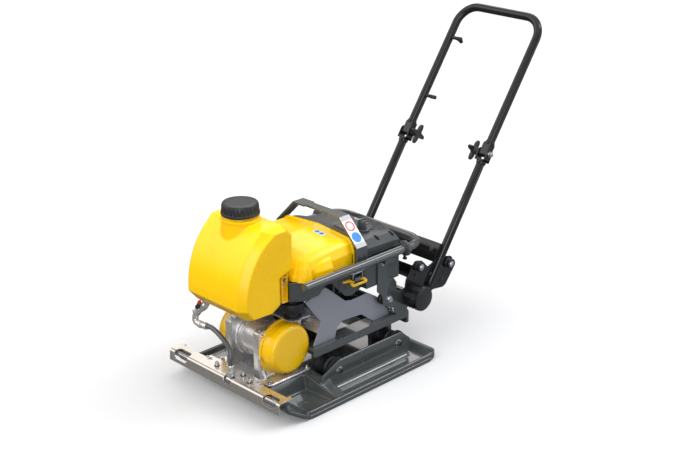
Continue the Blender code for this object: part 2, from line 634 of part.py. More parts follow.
def console_tray():
    """Open tub that holds the electronics and the battery; a deeper well hangs between the side plates."""
    upper = [(-0.213, 0.303), (-0.128, 0.303), (-0.105, 0.325), (0.050, 0.325), (0.062, 0.262), (0.198, 0.262),
             (0.198, TRAY_RIM), (-0.213, TRAY_RIM)]
    tub = prism("console_tray", upper, "X", -TRAY_X, TRAY_X, GREY_PLASTIC)
    well = [(-0.100, 0.340), (-0.060, 0.312), (-0.003, 0.254), (0.022, 0.248), (0.051, 0.257), (0.090, 0.275),
            (0.090, 0.340)]
    well_x = 0.128
    tub = combine(tub, [prism("well", well, "X", -well_x, well_x, GREY_PLASTIC)])
    corners = []
    for side in SIDES.values():
        wedge = [(side * 0.116, -0.220), (side * 0.160, -0.220), (side * 0.160, -0.174)]
        corners.append(prism("corner", wedge, "Z", 0.29, 0.37, GREY_PLASTIC))
    tub = cut(tub, corners)
    return shell("console_tray", tub, lambda face: face.normal.z > 0.9 and face.calc_center_median().z > 0.35, 0.004)


def console_ring(y, low, right):
    """Section of the console at y: an upright side from low, then the right-hand (x, z) points of its top."""
    half = [(right[0][0], low), *right]
    middle = [(0, right[-1][1] + 0.004)]
    points = half + middle + [(-point[0], point[1]) for point in reversed(half)]
    return [Vector((point[0], y, point[1])) for point in points]


def hood():
    """Yellow electronics hood, an open-bottomed shell."""
    low = TRAY_RIM + GAP
    stations = [(-0.2015, 0.126, 0.374, 0.384, 0.392), (-0.192, 0.138, 0.378, 0.396, 0.412),
                (-0.160, 0.154, 0.384, 0.408, 0.434), (-0.110, 0.156, 0.390, 0.414, 0.444),
                (-0.075, 0.150, 0.394, 0.418, 0.446), (0.005, 0.150, 0.394, 0.420, 0.444)]
    rings = []
    for y, half, side_top, shoulder, crown in stations:
        flank = shoulder + (crown - shoulder) * 0.5
        right = [(half, side_top), (half - 0.010, shoulder), (half - 0.022, flank), (half * 0.48, crown)]
        rings.append(console_ring(y, low, right))
    body = loft("hood", rings, YELLOW_PLASTIC)
    return shell("hood", body, faces_down_or_back, 0.003)


def faces_down_or_back(face):
    return face.normal.z < -0.9 or face.normal.y > 0.9


def console_bridge():
    """Dark bridge between the hood and the battery, under the lifting arch."""
    low = TRAY_RIM + GAP
    rings = []
    for y, drop in ((0.0055, 0.002), (0.050, 0.010)):
        right = [(0.150, 0.390), (0.140, 0.418 - drop), (0.128, 0.430 - drop), (0.072, 0.441 - drop)]
        rings.append(console_ring(y, low, right))
    body = loft("console_bridge", rings, GREY_PLASTIC)
    return shell("console_bridge", body, lambda face: face.normal.z < -0.9, 0.003)


def motor_controller():
    """Finned inverter box on the floor of the tray, under the hood."""
    low = 0.307 + GAP
    case = box("motor_controller", (-0.095, -0.198, low), (0.095, -0.134, 0.345), CAST_ALUMINIUM)
    fins = []
    for index in range(7):
        x = -0.081 + 0.027 * index
        fins.append(box("fin", (x - 0.003, -0.194, 0.344), (x + 0.003, -0.138, 0.362), CAST_ALUMINIUM))
    return combine(case, fins)


def battery_pack():
    """Lift-out battery: its lower block sits in the tray and its crowned lid overhangs the rim."""
    low = TRAY_RIM + GAP
    stations = [(0.0505, 0.150, 0.390, 0.404, 0.420), (0.110, 0.150, 0.387, 0.402, 0.4175),
                (0.196, 0.150, 0.381, 0.396, 0.411), (0.206, 0.143, 0.377, 0.391, 0.405)]
    rings = []
    for y, half, side_top, band_top, crown in stations:
        right = [(half, side_top), (half - 0.025, band_top), (half * 0.66, band_top + 0.006), (half * 0.40, crown)]
        rings.append(console_ring(y, low + 0.004, right))
    lid = loft("battery_pack", rings, GREY_PLASTIC)
    block = box("block", (-0.120, 0.068, 0.2665), (0.120, 0.190, 0.380), GREY_PLASTIC)
    boss = rod("boss", 0.016, (0.075, 0.118, 0.390), (0.075, 0.118, 0.4205), GREY_PLASTIC, 20)
    return combine(lid, [block, boss])


def selector_knob():
    """Turn knob on the battery lid."""
    profile = [(0, 0.4208), (0.0135, 0.4208), (0.0135, 0.440), (0.0115, 0.444), (0, 0.444)]
    knob = turned("selector_knob", profile, (0.075, 0.118, 0), "Z", BLACK_PLASTIC, 20)
    pointer = box("pointer", (0.073, 0.103, 0.430), (0.077, 0.118, 0.4455), BLACK_PLASTIC)
    return combine(knob, [pointer])


def latches():
    """Yellow draw latches on the sides of the tray, hinged along Y at their top edge."""
    hinge_z = 0.334
    plate = [((-0.012, hinge_z), 0), ((-0.012, 0.296), 0.006), ((0.050, 0.296), 0.006), ((0.050, hinge_z), 0)]
    latch = prism("latch_right", rounded(plate, 0.0, 2), "X", 0.1502, 0.1540, YELLOW_PAINT)
    window = box("window", (0.145, 0.004, 0.309), (0.160, 0.034, 0.326), YELLOW_PAINT)
    lip = box("lip", (0.152, -0.010, 0.2962), (0.168, 0.048, 0.3000), YELLOW_PAINT)
    knuckle = rod("knuckle", 0.0042, (0.1546, -0.012, hinge_z), (0.1546, 0.050, hinge_z), YELLOW_PAINT, 10)
    latch = cut(combine(latch, [lip, knuckle]), [window])
    left_copy(latch, "latch_left")


# ---------------------------------------------------------------- guard and lifting arch

def guard_tube():
    """U-shaped guard tube round the console, open to the front."""
    corners = [(GUARD_X, -0.215, GUARD_Z), (GUARD_X, 0.270, GUARD_Z), (-GUARD_X, 0.270, GUARD_Z),
               (-GUARD_X, -0.215, GUARD_Z)]
    swept_tube("guard_tube", rounded(corners, 0.057, 8, closed=False), GUARD_R, GREY_PAINT, 10)


def guard_clamps():
    """Round clamps on the guard tube ahead of its rear bends."""
    ring = [(GUARD_R + GAP, 0.180), (0.022, 0.180), (0.024, 0.183), (0.024, 0.193), (0.022, 0.196),
            (GUARD_R + GAP, 0.196)]
    clamp = turned("guard_clamp_right", ring, (GUARD_X, 0, GUARD_Z), "Y", GREY_PLASTIC, 16, ring=True)
    left_copy(clamp, "guard_clamp_left")


def lifting_arch():
    """Flat bent strap over the console with a narrower grip in the middle."""
    strap_low, strap_high = 0.003, 0.045
    leg_x, foot_z, knee_z, top_x, top_z = 0.1690, 0.345, 0.410, 0.095, 0.485
    thick = 0.006
    outer = [(leg_x, foot_z), (leg_x, knee_z), (top_x, top_z)]
    lean = 0.0024
    inner = [(leg_x - thick, foot_z), (leg_x - thick, knee_z - lean), (top_x - lean, top_z - thick)]
    outline = outer + [(-point[0], point[1]) for point in reversed(outer)]
    outline += [(-point[0], point[1]) for point in inner] + list(reversed(inner))
    strap = prism("lifting_arch", outline, "Y", strap_low, strap_high, GREY_PAINT)
    waist = []
    for near, far in ((-0.010, strap_low + 0.006), (strap_high - 0.006, 0.060)):
        waist.append(box("waist", (-0.048, near, 0.46), (0.048, far, 0.50), GREY_PAINT))
    return cut(strap, waist)


def rear_brackets():
    """Plates from the rails' tops up to the guard tube that carry the handle pivot."""
    outline = [((0.104, 0.347), 0), ((0.146, 0.347), 0), ((0.146, 0.272), 0.003), ((0.173, 0.264), 0.008),
               ((0.184, 0.248), 0.010), ((0.187, 0.216), 0.010), ((0.222, 0.216), 0.010), ((0.262, 0.214), 0.018),
               ((0.268, 0.180), 0.020), ((0.240, 0.162), 0.012), ((0.230, 0.1403), 0), ((0.184, 0.1403), 0),
               ((0.176, 0.166), 0.008), ((0.151, 0.176), 0.018), ((0.128, 0.194), 0.016), ((0.124, 0.222), 0.010),
               ((0.104, 0.240), 0.008)]
    inner, outer = BRACKET_X, BRACKET_X + 0.004
    plate = prism("rear_bracket_right", rounded(outline, 0.0, 3), "X", inner, outer, GREY_PAINT)
    saddle = box("saddle", (outer - 0.001, 0.106, 0.335), (GUARD_X, 0.144, GUARD_Z - GUARD_R - GAP), GREY_PAINT)
    foot = box("foot", (0.112, 0.184, RAIL_TOP + GAP), (outer - 0.001, 0.230, RAIL_TOP + 0.005), GREY_PAINT)
    plate = combine(plate, [saddle, foot])
    bore = rod("bore", 0.0103, (0.140, PIVOT_Y, PIVOT_Z), (0.170, PIVOT_Y, PIVOT_Z), GREY_PAINT, 20)
    plate = cut(plate, [bore])
    left_copy(plate, "rear_bracket_left")


def pivot_axle():
    """Shaft through both brackets that the handle hubs turn on."""
    rod("pivot_axle", 0.0100, (-0.200, PIVOT_Y, PIVOT_Z), (0.200, PIVOT_Y, PIVOT_Z), STEEL, 20)


# ---------------------------------------------------------------- handle

def along_handle(distance):
    """A point in the plane of the handle tube, at a distance from the pivot end of the lower tube."""
    start, end = Vector((0.316, 0.194)), Vector((0.548, 0.535))
    return start + (end - start).normalized() * distance


def lower_handle():
    """Welded lower handle: two tubes, a cheek plate on each, two cross plates and the fold forks."""
    low, high = along_handle(0.0), along_handle(0.4185)
    tube = rod("lower_handle", HANDLE_R, (HANDLE_X, *low), (HANDLE_X, *high), BLACK_PAINT, 14)
    cheek_side = [((0.214, 0.200), 0.015), ((0.222, 0.244), 0.006), ((0.240, 0.270), 0.006), ((0.262, 0.294), 0.012),
                  ((0.290, 0.286), 0.010), ((0.318, 0.258), 0.006), ((0.372, 0.276), 0.010), ((0.425, 0.262), 0.014),
                  ((0.442, 0.227), 0.008), ((0.402, 0.177), 0.010), ((0.388, 0.170), 0.010), ((0.343, 0.176), 0.010),
                  ((0.290, 0.160), 0.020), ((0.250, 0.150), 0.020), ((0.214, 0.165), 0.020)]
    cheek_in, cheek_out = BRACKET_X + 0.0044, BRACKET_X + 0.0094
    cheek = prism("cheek", rounded(cheek_side, 0.0, 3), "X", cheek_in, cheek_out, BLACK_PAINT)
    base = fold_strap("fork_base", along_handle(0.4165), along_handle(0.4205), 0.015, FORK_IN, FORK_OUT, 0.0)
    pieces = [cheek, base]
    for name, near in (("fork_inner", FORK_IN), ("fork_outer", FORK_OUT - FORK_THICK)):
        pieces.append(fold_strap(name, along_handle(0.4165), along_handle(0.458), 0.015, near, near + FORK_THICK, 0.010))
    pieces += [left_copy(piece, piece.name + "_left") for piece in (tube, *pieces)]
    pieces.append(tilted_plate("upper_cross", Vector((0.345, 0.265)), Vector((0.381, 0.325)), 0.158))
    pieces.append(tilted_plate("lower_cross", Vector((0.266, 0.2285)), Vector((0.2745, 0.268)), 0.158))
    handle = combine(tube, pieces)
    bores = []
    for side in SIDES.values():
        start, end = (side * 0.140, PIVOT_Y, PIVOT_Z), (side * 0.170, PIVOT_Y, PIVOT_Z)
        bores.append(rod("bore", 0.0103, start, end, BLACK_PAINT, 20))
        start, end = (side * 0.120, FOLD_Y, FOLD_Z), (side * 0.200, FOLD_Y, FOLD_Z)
        bores.append(rod("bolt_hole", 0.0053, start, end, BLACK_PAINT, 12))
    return cut(handle, bores)


def tilted_plate(name, low, high, half):
    """A plate across the handle, its section running from one (y, z) point to another."""
    run = (high - low).normalized()
    side = Vector((run[1], -run[0])) * 0.0025
    outline = [low + side, high + side, high - side, low - side]
    return prism(name, outline, "X", -half, half, BLACK_PAINT)


def fold_strap(name, low, high, half, near, far, corner):
    """A strap along the handle from one (y, z) point to another, between two x positions."""
    run = (high - low).normalized()
    side = Vector((run[1], -run[0])) * half
    outline = [(tuple(low + side), 0), (tuple(high + side), corner), (tuple(high - side), corner), (tuple(low - side), 0)]
    return prism(name, rounded(outline, 0.0, 3), "X", near, far, BLACK_PAINT)


def upper_handle():
    """Upper bow with a fold tongue on each end and two cable hooks on its left tube."""
    corner = 0.066
    low = Vector((0.5905, 0.592))
    top = Vector((0.829, 0.930))
    corners = [(HANDLE_X, *low), (HANDLE_X, *top), (-HANDLE_X, *top), (-HANDLE_X, *low)]
    bow = swept_tube("upper_handle", rounded(corners, corner, 6, closed=False), HANDLE_R, BLACK_PAINT, 10)
    run = (top - low).normalized()
    tongue_in, tongue_out = FORK_IN + FORK_THICK + 0.0005, FORK_OUT - FORK_THICK - 0.0005
    tongue = fold_strap("tongue", low + run * 0.004, low - run * 0.053, 0.0125, tongue_in, tongue_out, 0.010)
    tongues = [tongue, left_copy(tongue, "tongue_left")]
    hooks = [cable_hook(low + run * reach, run) for reach in (0.090, 0.297)]
    bow = combine(bow, tongues + hooks)
    bores = []
    for side in SIDES.values():
        start, end = (side * 0.120, FOLD_Y, FOLD_Z), (side * 0.200, FOLD_Y, FOLD_Z)
        bores.append(rod("bolt_hole", 0.0053, start, end, BLACK_PAINT, 12))
    return cut(bow, bores)


def cable_hook(point, run):
    """A small bent hook on the inner side of the left handle tube."""
    x = -HANDLE_X + HANDLE_R - 0.003
    side = Vector((run[1], -run[0]))
    path = [Vector((x, *point)), Vector((x + 0.022, *point)), Vector((x + 0.022, *(point + side * 0.020)))]
    return swept_tube("hook", rounded(path, 0.006, 3, closed=False), 0.004, BLACK_PAINT, 8)


def handle_hubs():
    """Rubber-bushed hub caps that carry the handle on the axle."""
    hub = hub_cap(BRACKET_X + 0.0097)
    left_copy(hub, "handle_hub_left")


def hub_cap(face):
    """Round cap with a blind bore, from the cheek plate out to its flat face."""
    profile = [(0, 0.2115), (0.0360, 0.2115), (0.0385, 0.206), (0.0385, face + 0.004), (0.037, face),
               (0.0103, face), (0.0103, 0.2015), (0, 0.2015)]
    return turned("handle_hub_right", profile, (0, PIVOT_Y, PIVOT_Z), "X", BLACK_PLASTIC, 20)


def handle_bumpers():
    """Rubber stops on the outer faces of the cheek plates, ahead of and behind the tubes."""
    face = BRACKET_X + 0.0097
    for place, y, z in (("front", 0.268, 0.277), ("rear", 0.404, 0.247)):
        profile = [(0, face), (0.014, face), (0.014, face + 0.004), (0.0115, face + 0.009), (0.014, face + 0.014),
                   (0.014, face + 0.020), (0.008, face + 0.021), (0, face + 0.021)]
        bumper = turned("bumper_" + place + "_right", profile, (0, y, z), "X", RUBBER, 12)
        left_copy(bumper, "bumper_" + place + "_left")


def star_knobs():
    """Four-armed clamping knobs on the inner side of each fold joint, with their bolts."""
    outline = []
    for step in range(32):
        angle = 2 * math.pi * step / 32
        radius = 0.0205 + 0.0095 * math.cos(4 * angle - math.radians(200))
        outline.append((FOLD_Y + radius * math.cos(angle), FOLD_Z + radius * math.sin(angle)))
    head = prism("star_knob_right", outline, "X", FORK_IN - 0.031, FORK_IN - 0.019, BLACK_PLASTIC)
    neck = [(0, -0.020), (0.0130, -0.020), (0.0090, -0.008), (0.0090, -GAP), (0.005, -GAP), (0.005, 0.048), (0, 0.048)]
    neck = turned("neck", neck, (FORK_IN, FOLD_Y, FOLD_Z), "X", BLACK_PLASTIC, 12)
    knob = combine(head, [neck])
    left_copy(knob, "star_knob_left")


# ---------------------------------------------------------------- build

def build():
    base_plate()
    sprinkler_bar()
    water_line()
    water_tank()
    tank_cap()
    tank_bracket()
    exciter_housing()
    exciter_covers()
    exciter_drive()
    cable_gland()
    buffers()
    lower_frame()
    side_plates()
    front_mounts()
    console_tray()
    hood()
    console_bridge()
    motor_controller()
    battery_pack()
    selector_knob()
    latches()
    guard_tube()
    guard_clamps()
    lifting_arch()
    rear_brackets()
    pivot_axle()
    lower_handle()
    upper_handle()
    handle_hubs()
    handle_bumpers()
    star_knobs()


for item in list(bpy.data.objects):
    bpy.data.objects.remove(item, do_unlink=True)
build()
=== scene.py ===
"""Looks of the plate compactor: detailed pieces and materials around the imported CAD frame."""
import json
import math

import bmesh
import bpy
from mathutils import Matrix, Vector


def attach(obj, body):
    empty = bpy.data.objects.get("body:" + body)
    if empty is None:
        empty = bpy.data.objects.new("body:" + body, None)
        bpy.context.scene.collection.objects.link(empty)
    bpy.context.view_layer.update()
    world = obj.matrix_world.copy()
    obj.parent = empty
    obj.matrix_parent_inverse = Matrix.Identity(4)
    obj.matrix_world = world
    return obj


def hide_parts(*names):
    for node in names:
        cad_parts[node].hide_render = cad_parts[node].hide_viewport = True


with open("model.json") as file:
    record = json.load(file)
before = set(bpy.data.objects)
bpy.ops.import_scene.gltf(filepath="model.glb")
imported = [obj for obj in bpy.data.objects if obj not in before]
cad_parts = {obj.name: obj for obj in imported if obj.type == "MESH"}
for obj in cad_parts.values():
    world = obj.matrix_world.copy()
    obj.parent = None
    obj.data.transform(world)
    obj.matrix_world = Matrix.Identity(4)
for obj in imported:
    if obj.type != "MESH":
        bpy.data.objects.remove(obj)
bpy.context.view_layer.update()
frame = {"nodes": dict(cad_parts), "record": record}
NODES = frame["nodes"]
AXES = {"X": Vector((1, 0, 0)), "Y": Vector((0, 1, 0)), "Z": Vector((0, 0, 1))}

# Places and sizes shared with the CAD model, in metres
EXCITER = Vector((0, -0.205, 0.15))
CAP_Y = -0.277
PIVOT = Vector((0, 0.244, 0.1915))
FOLD = Vector((0, 0.567, 0.56))
HANDLE_X = 0.1614
HANDLE_R = 0.013
GUARD_X, GUARD_Z, GUARD_R = 0.182, 0.363, 0.0125
BUFFER_Z = 0.062
BUFFER_Y = {"front": -0.079, "rear": 0.167}
TRAY_RIM = 0.358
PIPE = (-0.3485, 0.0722)
FLANGE_FACE = 0.1802
VALVE_TOP = Vector((-0.094, -0.3225, 0.2805))
VALVE_AXIS = Vector((-0.63, -0.14, -0.76)).normalized()
DIAL = (0.075, 0.118)
PATCH_Y = -0.03
LAMP_LIFT = 0.0008
HEAD_EDGE = 0.0006
SAME_PLACE = 2e-5

# Viewpoint: place in metres, turns in degrees, lens in millimetres
CAMERA_PLACE = (2.57, -2.426, 1.821)
CAMERA_AZIMUTH, CAMERA_PITCH = 45.0, 21.74
SENSOR_WIDTH, LENS = 36.0, 67.649143

# Light
OVERHEAD = 1.5
KEY = 1.9
FLOOR_GLOW, WALL_GLOW = 0.05, 1.2
FLOOR_HALF, WALL_RADIUS, WALL_HEIGHT = 14.0, 13.0, 12.0
GROUND_LEVEL, SKY_LEVEL = 0.2, 0.36
GLOWS = (
    # direction, inner and outer half angle in degrees, brightness
    ((0.62, -0.62, 0.48), 8, 17, 3.2),
    ((0.62, -0.72, 0.08), 8, 18, 2.6),
    ((-0.6, 0.6, 0.66), 8, 17, 2.0),
    ((0.4, 0.62, 0.68), 4, 10, 9.0),
    ((0.7, 0.7, -0.25), 20, 60, 0.2),
    ((-0.66, -0.55, 0.5), 10, 30, 1.3),
    ((0.1, 0.1, 1.0), 25, 50, 0.6),
    ((0.78, 0.6, 0.05), 6, 20, 1.0),
)


# ---------------------------------------------------------------- materials

LOOK_OF_SLOT = {}
EVEN = (1, 1, 1)
NOISE_DETAIL, NOISE_ROUGHNESS = 3.0, 0.5
NOISE_SPREAD = (0.3, 0.7)


def socket(shader, name, value):
    shader.inputs[name].default_value = value


def ranged(tree, value, source, target, kind="LINEAR"):
    """A value moved from one range to another, clamped."""
    node = tree.nodes.new("ShaderNodeMapRange")
    node.interpolation_type = kind
    limits = (("From Min", source[0]), ("From Max", source[1]), ("To Min", target[0]), ("To Max", target[1]))
    for name, number in limits:
        socket(node, name, number)
    tree.links.new(value, node.inputs["Value"])
    return node.outputs["Result"]


class Finish:
    """Builds one procedural material: a Principled shader with noise in its colour, gloss and surface."""

    def __init__(self, name, colour, roughness, metallic=0.0, coat=0.0, coat_roughness=0.05, specular=0.5):
        self.material = bpy.data.materials.new(name)
        self.material.use_nodes = True
        self.tree = self.material.node_tree
        self.shader = self.tree.nodes["Principled BSDF"]
        self.coords = self.tree.nodes.new("ShaderNodeTexCoord")
        self.colour = colour
        self.roughness = roughness
        socket(self.shader, "Base Color", (*colour, 1))
        socket(self.shader, "Roughness", roughness)
        socket(self.shader, "Metallic", metallic)
        socket(self.shader, "Coat Weight", coat)
        socket(self.shader, "Coat Roughness", coat_roughness)
        socket(self.shader, "Specular IOR Level", specular)

    def noise(self, scale, stretch):
        mapping = self.tree.nodes.new("ShaderNodeMapping")
        socket(mapping, "Scale", stretch)
        self.tree.links.new(self.coords.outputs["Object"], mapping.inputs["Vector"])
        noise = self.tree.nodes.new("ShaderNodeTexNoise")
        socket(noise, "Scale", scale)
        socket(noise, "Detail", NOISE_DETAIL)
        socket(noise, "Roughness", NOISE_ROUGHNESS)
        self.tree.links.new(mapping.outputs["Vector"], noise.inputs["Vector"])
        return noise.outputs["Fac"]

    def vary_colour(self, other, scale, stretch=EVEN, edges=(0.35, 0.65)):
        mix = self.tree.nodes.new("ShaderNodeMix")
        mix.data_type = "RGBA"
        mix.inputs[6].default_value = (*self.colour, 1)
        mix.inputs[7].default_value = (*other, 1)
        factor = ranged(self.tree, self.noise(scale, stretch), edges, (0.0, 1.0))
        self.tree.links.new(factor, mix.inputs["Factor"])
        self.tree.links.new(mix.outputs[2], self.shader.inputs["Base Color"])

    def vary_roughness(self, scale, amount, stretch=EVEN):
        limits = (self.roughness - amount, self.roughness + amount)
        value = ranged(self.tree, self.noise(scale, stretch), NOISE_SPREAD, limits)
        self.tree.links.new(value, self.shader.inputs["Roughness"])

    def bump(self, scale, strength, distance=0.0002, stretch=EVEN):
        bump = self.tree.nodes.new("ShaderNodeBump")
        socket(bump, "Strength", strength)
        socket(bump, "Distance", distance)
        self.tree.links.new(self.noise(scale, stretch), bump.inputs["Height"])
        self.tree.links.new(bump.outputs["Normal"], self.shader.inputs["Normal"])


def new_look(name, slot, colour, roughness, mottle=None, gloss=None, grain=None, **shader):
    """A material for a slot: mottle varies its colour, gloss its roughness and grain its surface."""
    made = Finish(name, colour, roughness, **shader)
    for vary, values in ((made.vary_colour, mottle), (made.vary_roughness, gloss), (made.bump, grain)):
        if values:
            vary(*values)
    LOOK_OF_SLOT.setdefault(slot, made.material)
    return made.material


YELLOW_PLASTIC = new_look("moulded yellow", "yellow_plastic", (1, 0.6, 0), 0.28, ((0.97, 0.565, 0), 9),
                          (30, 0.05), (260, 0.05), coat=0.1, coat_roughness=0.08, specular=0.4)
YELLOW_PAINT = new_look("yellow paint", "yellow_paint", (0.9, 0.535, 0), 0.22, ((0.88, 0.5, 0), 14), None,
                        (320, 0.04), coat=0.6, coat_roughness=0.04)
GREY_PAINT = new_look("grey paint", "grey_paint", (0.052, 0.059, 0.058), 0.24, ((0.047, 0.053, 0.052), 12),
                      (25, 0.04), (420, 0.02), coat=1.0)
GREY_PLASTIC = new_look("grey plastic", "grey_plastic", (0.056, 0.062, 0.064), 0.34,
                        ((0.05, 0.056, 0.058), 16), None, (900, 0.08), coat=0.4, coat_roughness=0.15)
BLACK_PAINT = new_look("black paint", "black_paint", (0.007, 0.007, 0.0075), 0.17, None, (40, 0.04),
                       (500, 0.02), coat=0.15)
BLACK_PLASTIC = new_look("black plastic", "black_plastic", (0.02, 0.02, 0.022), 0.42, None, (60, 0.05),
                         (800, 0.15), coat=0.15, coat_roughness=0.2)
GLOSS_BLACK = new_look("gloss black", "black_plastic", (0.009, 0.009, 0.01), 0.2, None, (40, 0.04),
                       (500, 0.03), coat=0.3, coat_roughness=0.06)
RUBBER = new_look("rubber", "rubber", (0.012, 0.012, 0.013), 0.48, None, (50, 0.08), (600, 0.15, 0.0003))
ZINC = new_look("zinc sheet", "zinc_sheet", (0.74, 0.7, 0.65), 0.25, ((0.7, 0.665, 0.62), 60, (1, 3, 3)),
                (90, 0.06, (1, 3, 3)), (300, 0.01, 0.0002, (1, 2, 2)), metallic=0.92)
SILVER_PAINT = new_look("silver paint", "silver_paint", (0.33, 0.335, 0.375), 0.36,
                        ((0.3, 0.305, 0.345), 900), None, (700, 0.1), metallic=0.45, coat=0.25,
                        coat_roughness=0.15)
POLISHED = new_look("polished sheet", "silver_paint", (0.5, 0.5, 0.53), 0.24, None, (60, 0.05, (1, 7, 7)),
                    metallic=0.6)
CAST = new_look("cast aluminium", "cast_aluminium", (0.8, 0.79, 0.77), 0.32, ((0.73, 0.72, 0.71), 45),
                (70, 0.1), (330, 0.06), metallic=0.8)
STEEL = new_look("steel", "steel", (0.66, 0.66, 0.68), 0.22, None, (120, 0.08), (500, 0.06), metallic=1.0)
NICKEL = new_look("nickel plating", "nickel_brass", (0.78, 0.77, 0.74), 0.15, None, (90, 0.06),
                  (260, 0.08, 0.0003), metallic=0.75)
new_look("copper winding", "copper_winding", (0.6, 0.24, 0.1), 0.35, None, None,
         (220, 0.4, 0.0008, (1, 4, 4)), metallic=1.0)
WHITE_LABEL = new_look("white label", "grey_paint", (0.8, 0.8, 0.79), 0.4, None, (80, 0.05))
BLUE_LABEL = new_look("blue label", "grey_paint", (0.02, 0.2, 0.64), 0.4, None, (80, 0.05))
RED_LABEL = new_look("red label", "grey_paint", (0.62, 0.03, 0.03), 0.4, None, (80, 0.05))
# Near-black look for the seam on the hood's sides: painted shade standing in for the dark gap of a seam
PAINTED_GAP_SHADE = new_look("painted gap shade", "black_plastic", (0.008, 0.008, 0.009), 0.6, None, (80, 0.05))
RED_GRIP = new_look("red grip", "black_plastic", (0.5, 0.015, 0.015), 0.4, None, (80, 0.05))
DARK_STEEL = new_look("dark steel", "steel", (0.1, 0.1, 0.105), 0.32, None, (90, 0.08), metallic=0.8)
# Clear hose over a grey braid
HOSE = new_look("braided hose", "rubber", (0.055, 0.055, 0.06), 0.25,
                ((0.12, 0.12, 0.125), 420, (1, 1, 2), (0.45, 0.6)), None, (500, 0.15, 0.0003), coat=0.8)


def dress_cad_nodes():
    """Gives every CAD node the procedural material of its slot."""
    for entry in frame["record"]["subparts"]:
        node = NODES[entry["node"]]
        node.data.materials.clear()
        node.data.materials.append(LOOK_OF_SLOT[entry["material_slot"]])


# ---------------------------------------------------------------- shape tools

def lay(point, axis, height):
    """A 2-D outline point lifted to 3-D: (y, z) for axis X, (x, z) for axis Y, (x, y) for axis Z."""
    if axis == "X":
        return Vector((height, point[0], point[1]))
    if axis == "Y":
        return Vector((point[0], height, point[1]))
    return Vector((point[0], point[1], height))


def rect(left, low, right, high):
    """Corners of a rectangle; with left 0 it is also the profile of a plain disc."""
    return [(left, low), (right, low), (right, high), (left, high)]


def soft(corners, radius, steps=4, closed=True):
    """The corners, each replaced by an arc of steps + 1 points; a corner may carry its own radius."""
    carried = [isinstance(corner[0], (tuple, Vector)) for corner in corners]
    points = [Vector(corner[0] if own else corner) for corner, own in zip(corners, carried)]
    radii = [corner[1] if own else radius for corner, own in zip(corners, carried)]
    result = []
    count = len(points)
    for index, point in enumerate(points):
        if radii[index] <= 0 or (not closed and index in (0, count - 1)):
            result.append(point)
            continue
        before, after = points[index - 1] - point, points[(index + 1) % count] - point
        half_turn = max((math.pi - before.angle(after)) / 2, 0.004)
        reach = min(radii[index] * math.tan(half_turn), before.length * 0.48, after.length * 0.48)
        start, end = point + before.normalized() * reach, point + after.normalized() * reach
        pull = math.cos(half_turn)
        for step in range(steps + 1):
            t = step / steps
            near, mid, far = (1 - t) ** 2, 2 * t * (1 - t) * pull, t ** 2
            result.append((start * near + point * mid + end * far) / (near + mid + far))
    return result


def between(stations, y):
    """The values at y on straight lines between the stations, whose first value is their own y."""
    for before, after in zip(stations, stations[1:]):
        if y <= after[0]:
            break
    t = (y - before[0]) / (after[0] - before[0])
    return [a + (b - a) * t for a, b in zip(before, after)]


def height_over(line, x):
    """The height at x of a line of points that runs outwards from the middle."""
    for before, after in zip(line, line[1:]):
        if x <= after[0]:
            t = (x - before[0]) / (after[0] - before[0])
            return before[1] + (after[1] - before[1]) * t
    return line[-1][1]


def smooth_route(guides, steps):
    """Points on a Catmull-Rom curve through the guide points."""
    guides = [Vector(guide) for guide in guides]
    ends = [guides[0] * 2 - guides[1]] + guides + [guides[-1] * 2 - guides[-2]]
    route = []
    for index in range(1, len(ends) - 2):
        a, b, c, d = ends[index - 1:index + 3]
        for step in range(steps):
            t = step / steps
            square, cube = 2 * a - 5 * b + 4 * c - d, 3 * b - a - 3 * c + d
            route.append(0.5 * (2 * b + (c - a) * t + square * t ** 2 + cube * t ** 3))
    route.append(guides[-1])
    return route


def placed(name, data):
    """A new object in the scene."""
    obj = bpy.data.objects.new(name, data)
    bpy.context.collection.objects.link(obj)
    return obj


def mesh_from(bm, name):
    mesh = bpy.data.meshes.new(name)
    bm.to_mesh(mesh)
    bm.free()
    return mesh


def mesh_of(name, points, faces):
    bm = bmesh.new()
    verts = [bm.verts.new(point) for point in points]
    for face in faces:
        bm.faces.new([verts[index] for index in face])
    bmesh.ops.recalc_face_normals(bm, faces=bm.faces)
    return mesh_from(bm, name)


def as_mesh(name, shape):
    return shape if isinstance(shape, bpy.types.Mesh) else mesh_of(name, *shape)


def loft(rings, closed_ends=True):
    """Points and faces of a skin through rings of equal point counts."""
    count = len(rings[0])
    points = [point for ring in rings for point in ring]
    faces = [list(range(count)), list(range(len(points) - count, len(points)))] if closed_ends else []
    for level in range(len(rings) - 1):
        base = level * count
        for index in range(count):
            after = (index + 1) % count
            faces.append([base + index, base + after, base + count + after, base + count + index])
    return points, faces


def arched(corners, y, steps):
    """Section across the machine at y, its corners and their radii given from the side to the middle."""
    corners = corners + [((-point[0], point[1]), radius) for point, radius in reversed(corners[:-1])]
    return [lay(point, "Y", y) for point in soft(corners, 0.0, steps)]


def skin_over(outline, height_at, low, high):
    """A thin sheet under a closed (x, y) outline that follows a surface's height."""
    return loft([[Vector((x, y, height_at(x, y) + level)) for x, y in outline] for level in (low, high)])


def prism(outline, axis, low, high):
    return loft([[lay(point, axis, height) for point in outline] for height in (low, high)])


def frame_along(direction):
    helper = Vector((0, 0, 1)) if abs(direction.z) < 0.9 else Vector((0, 1, 0))
    across = direction.cross(helper).normalized()
    return across, direction.cross(across).normalized()


def direction_of(axis):
    return AXES[axis] if isinstance(axis, str) else Vector(axis).normalized()


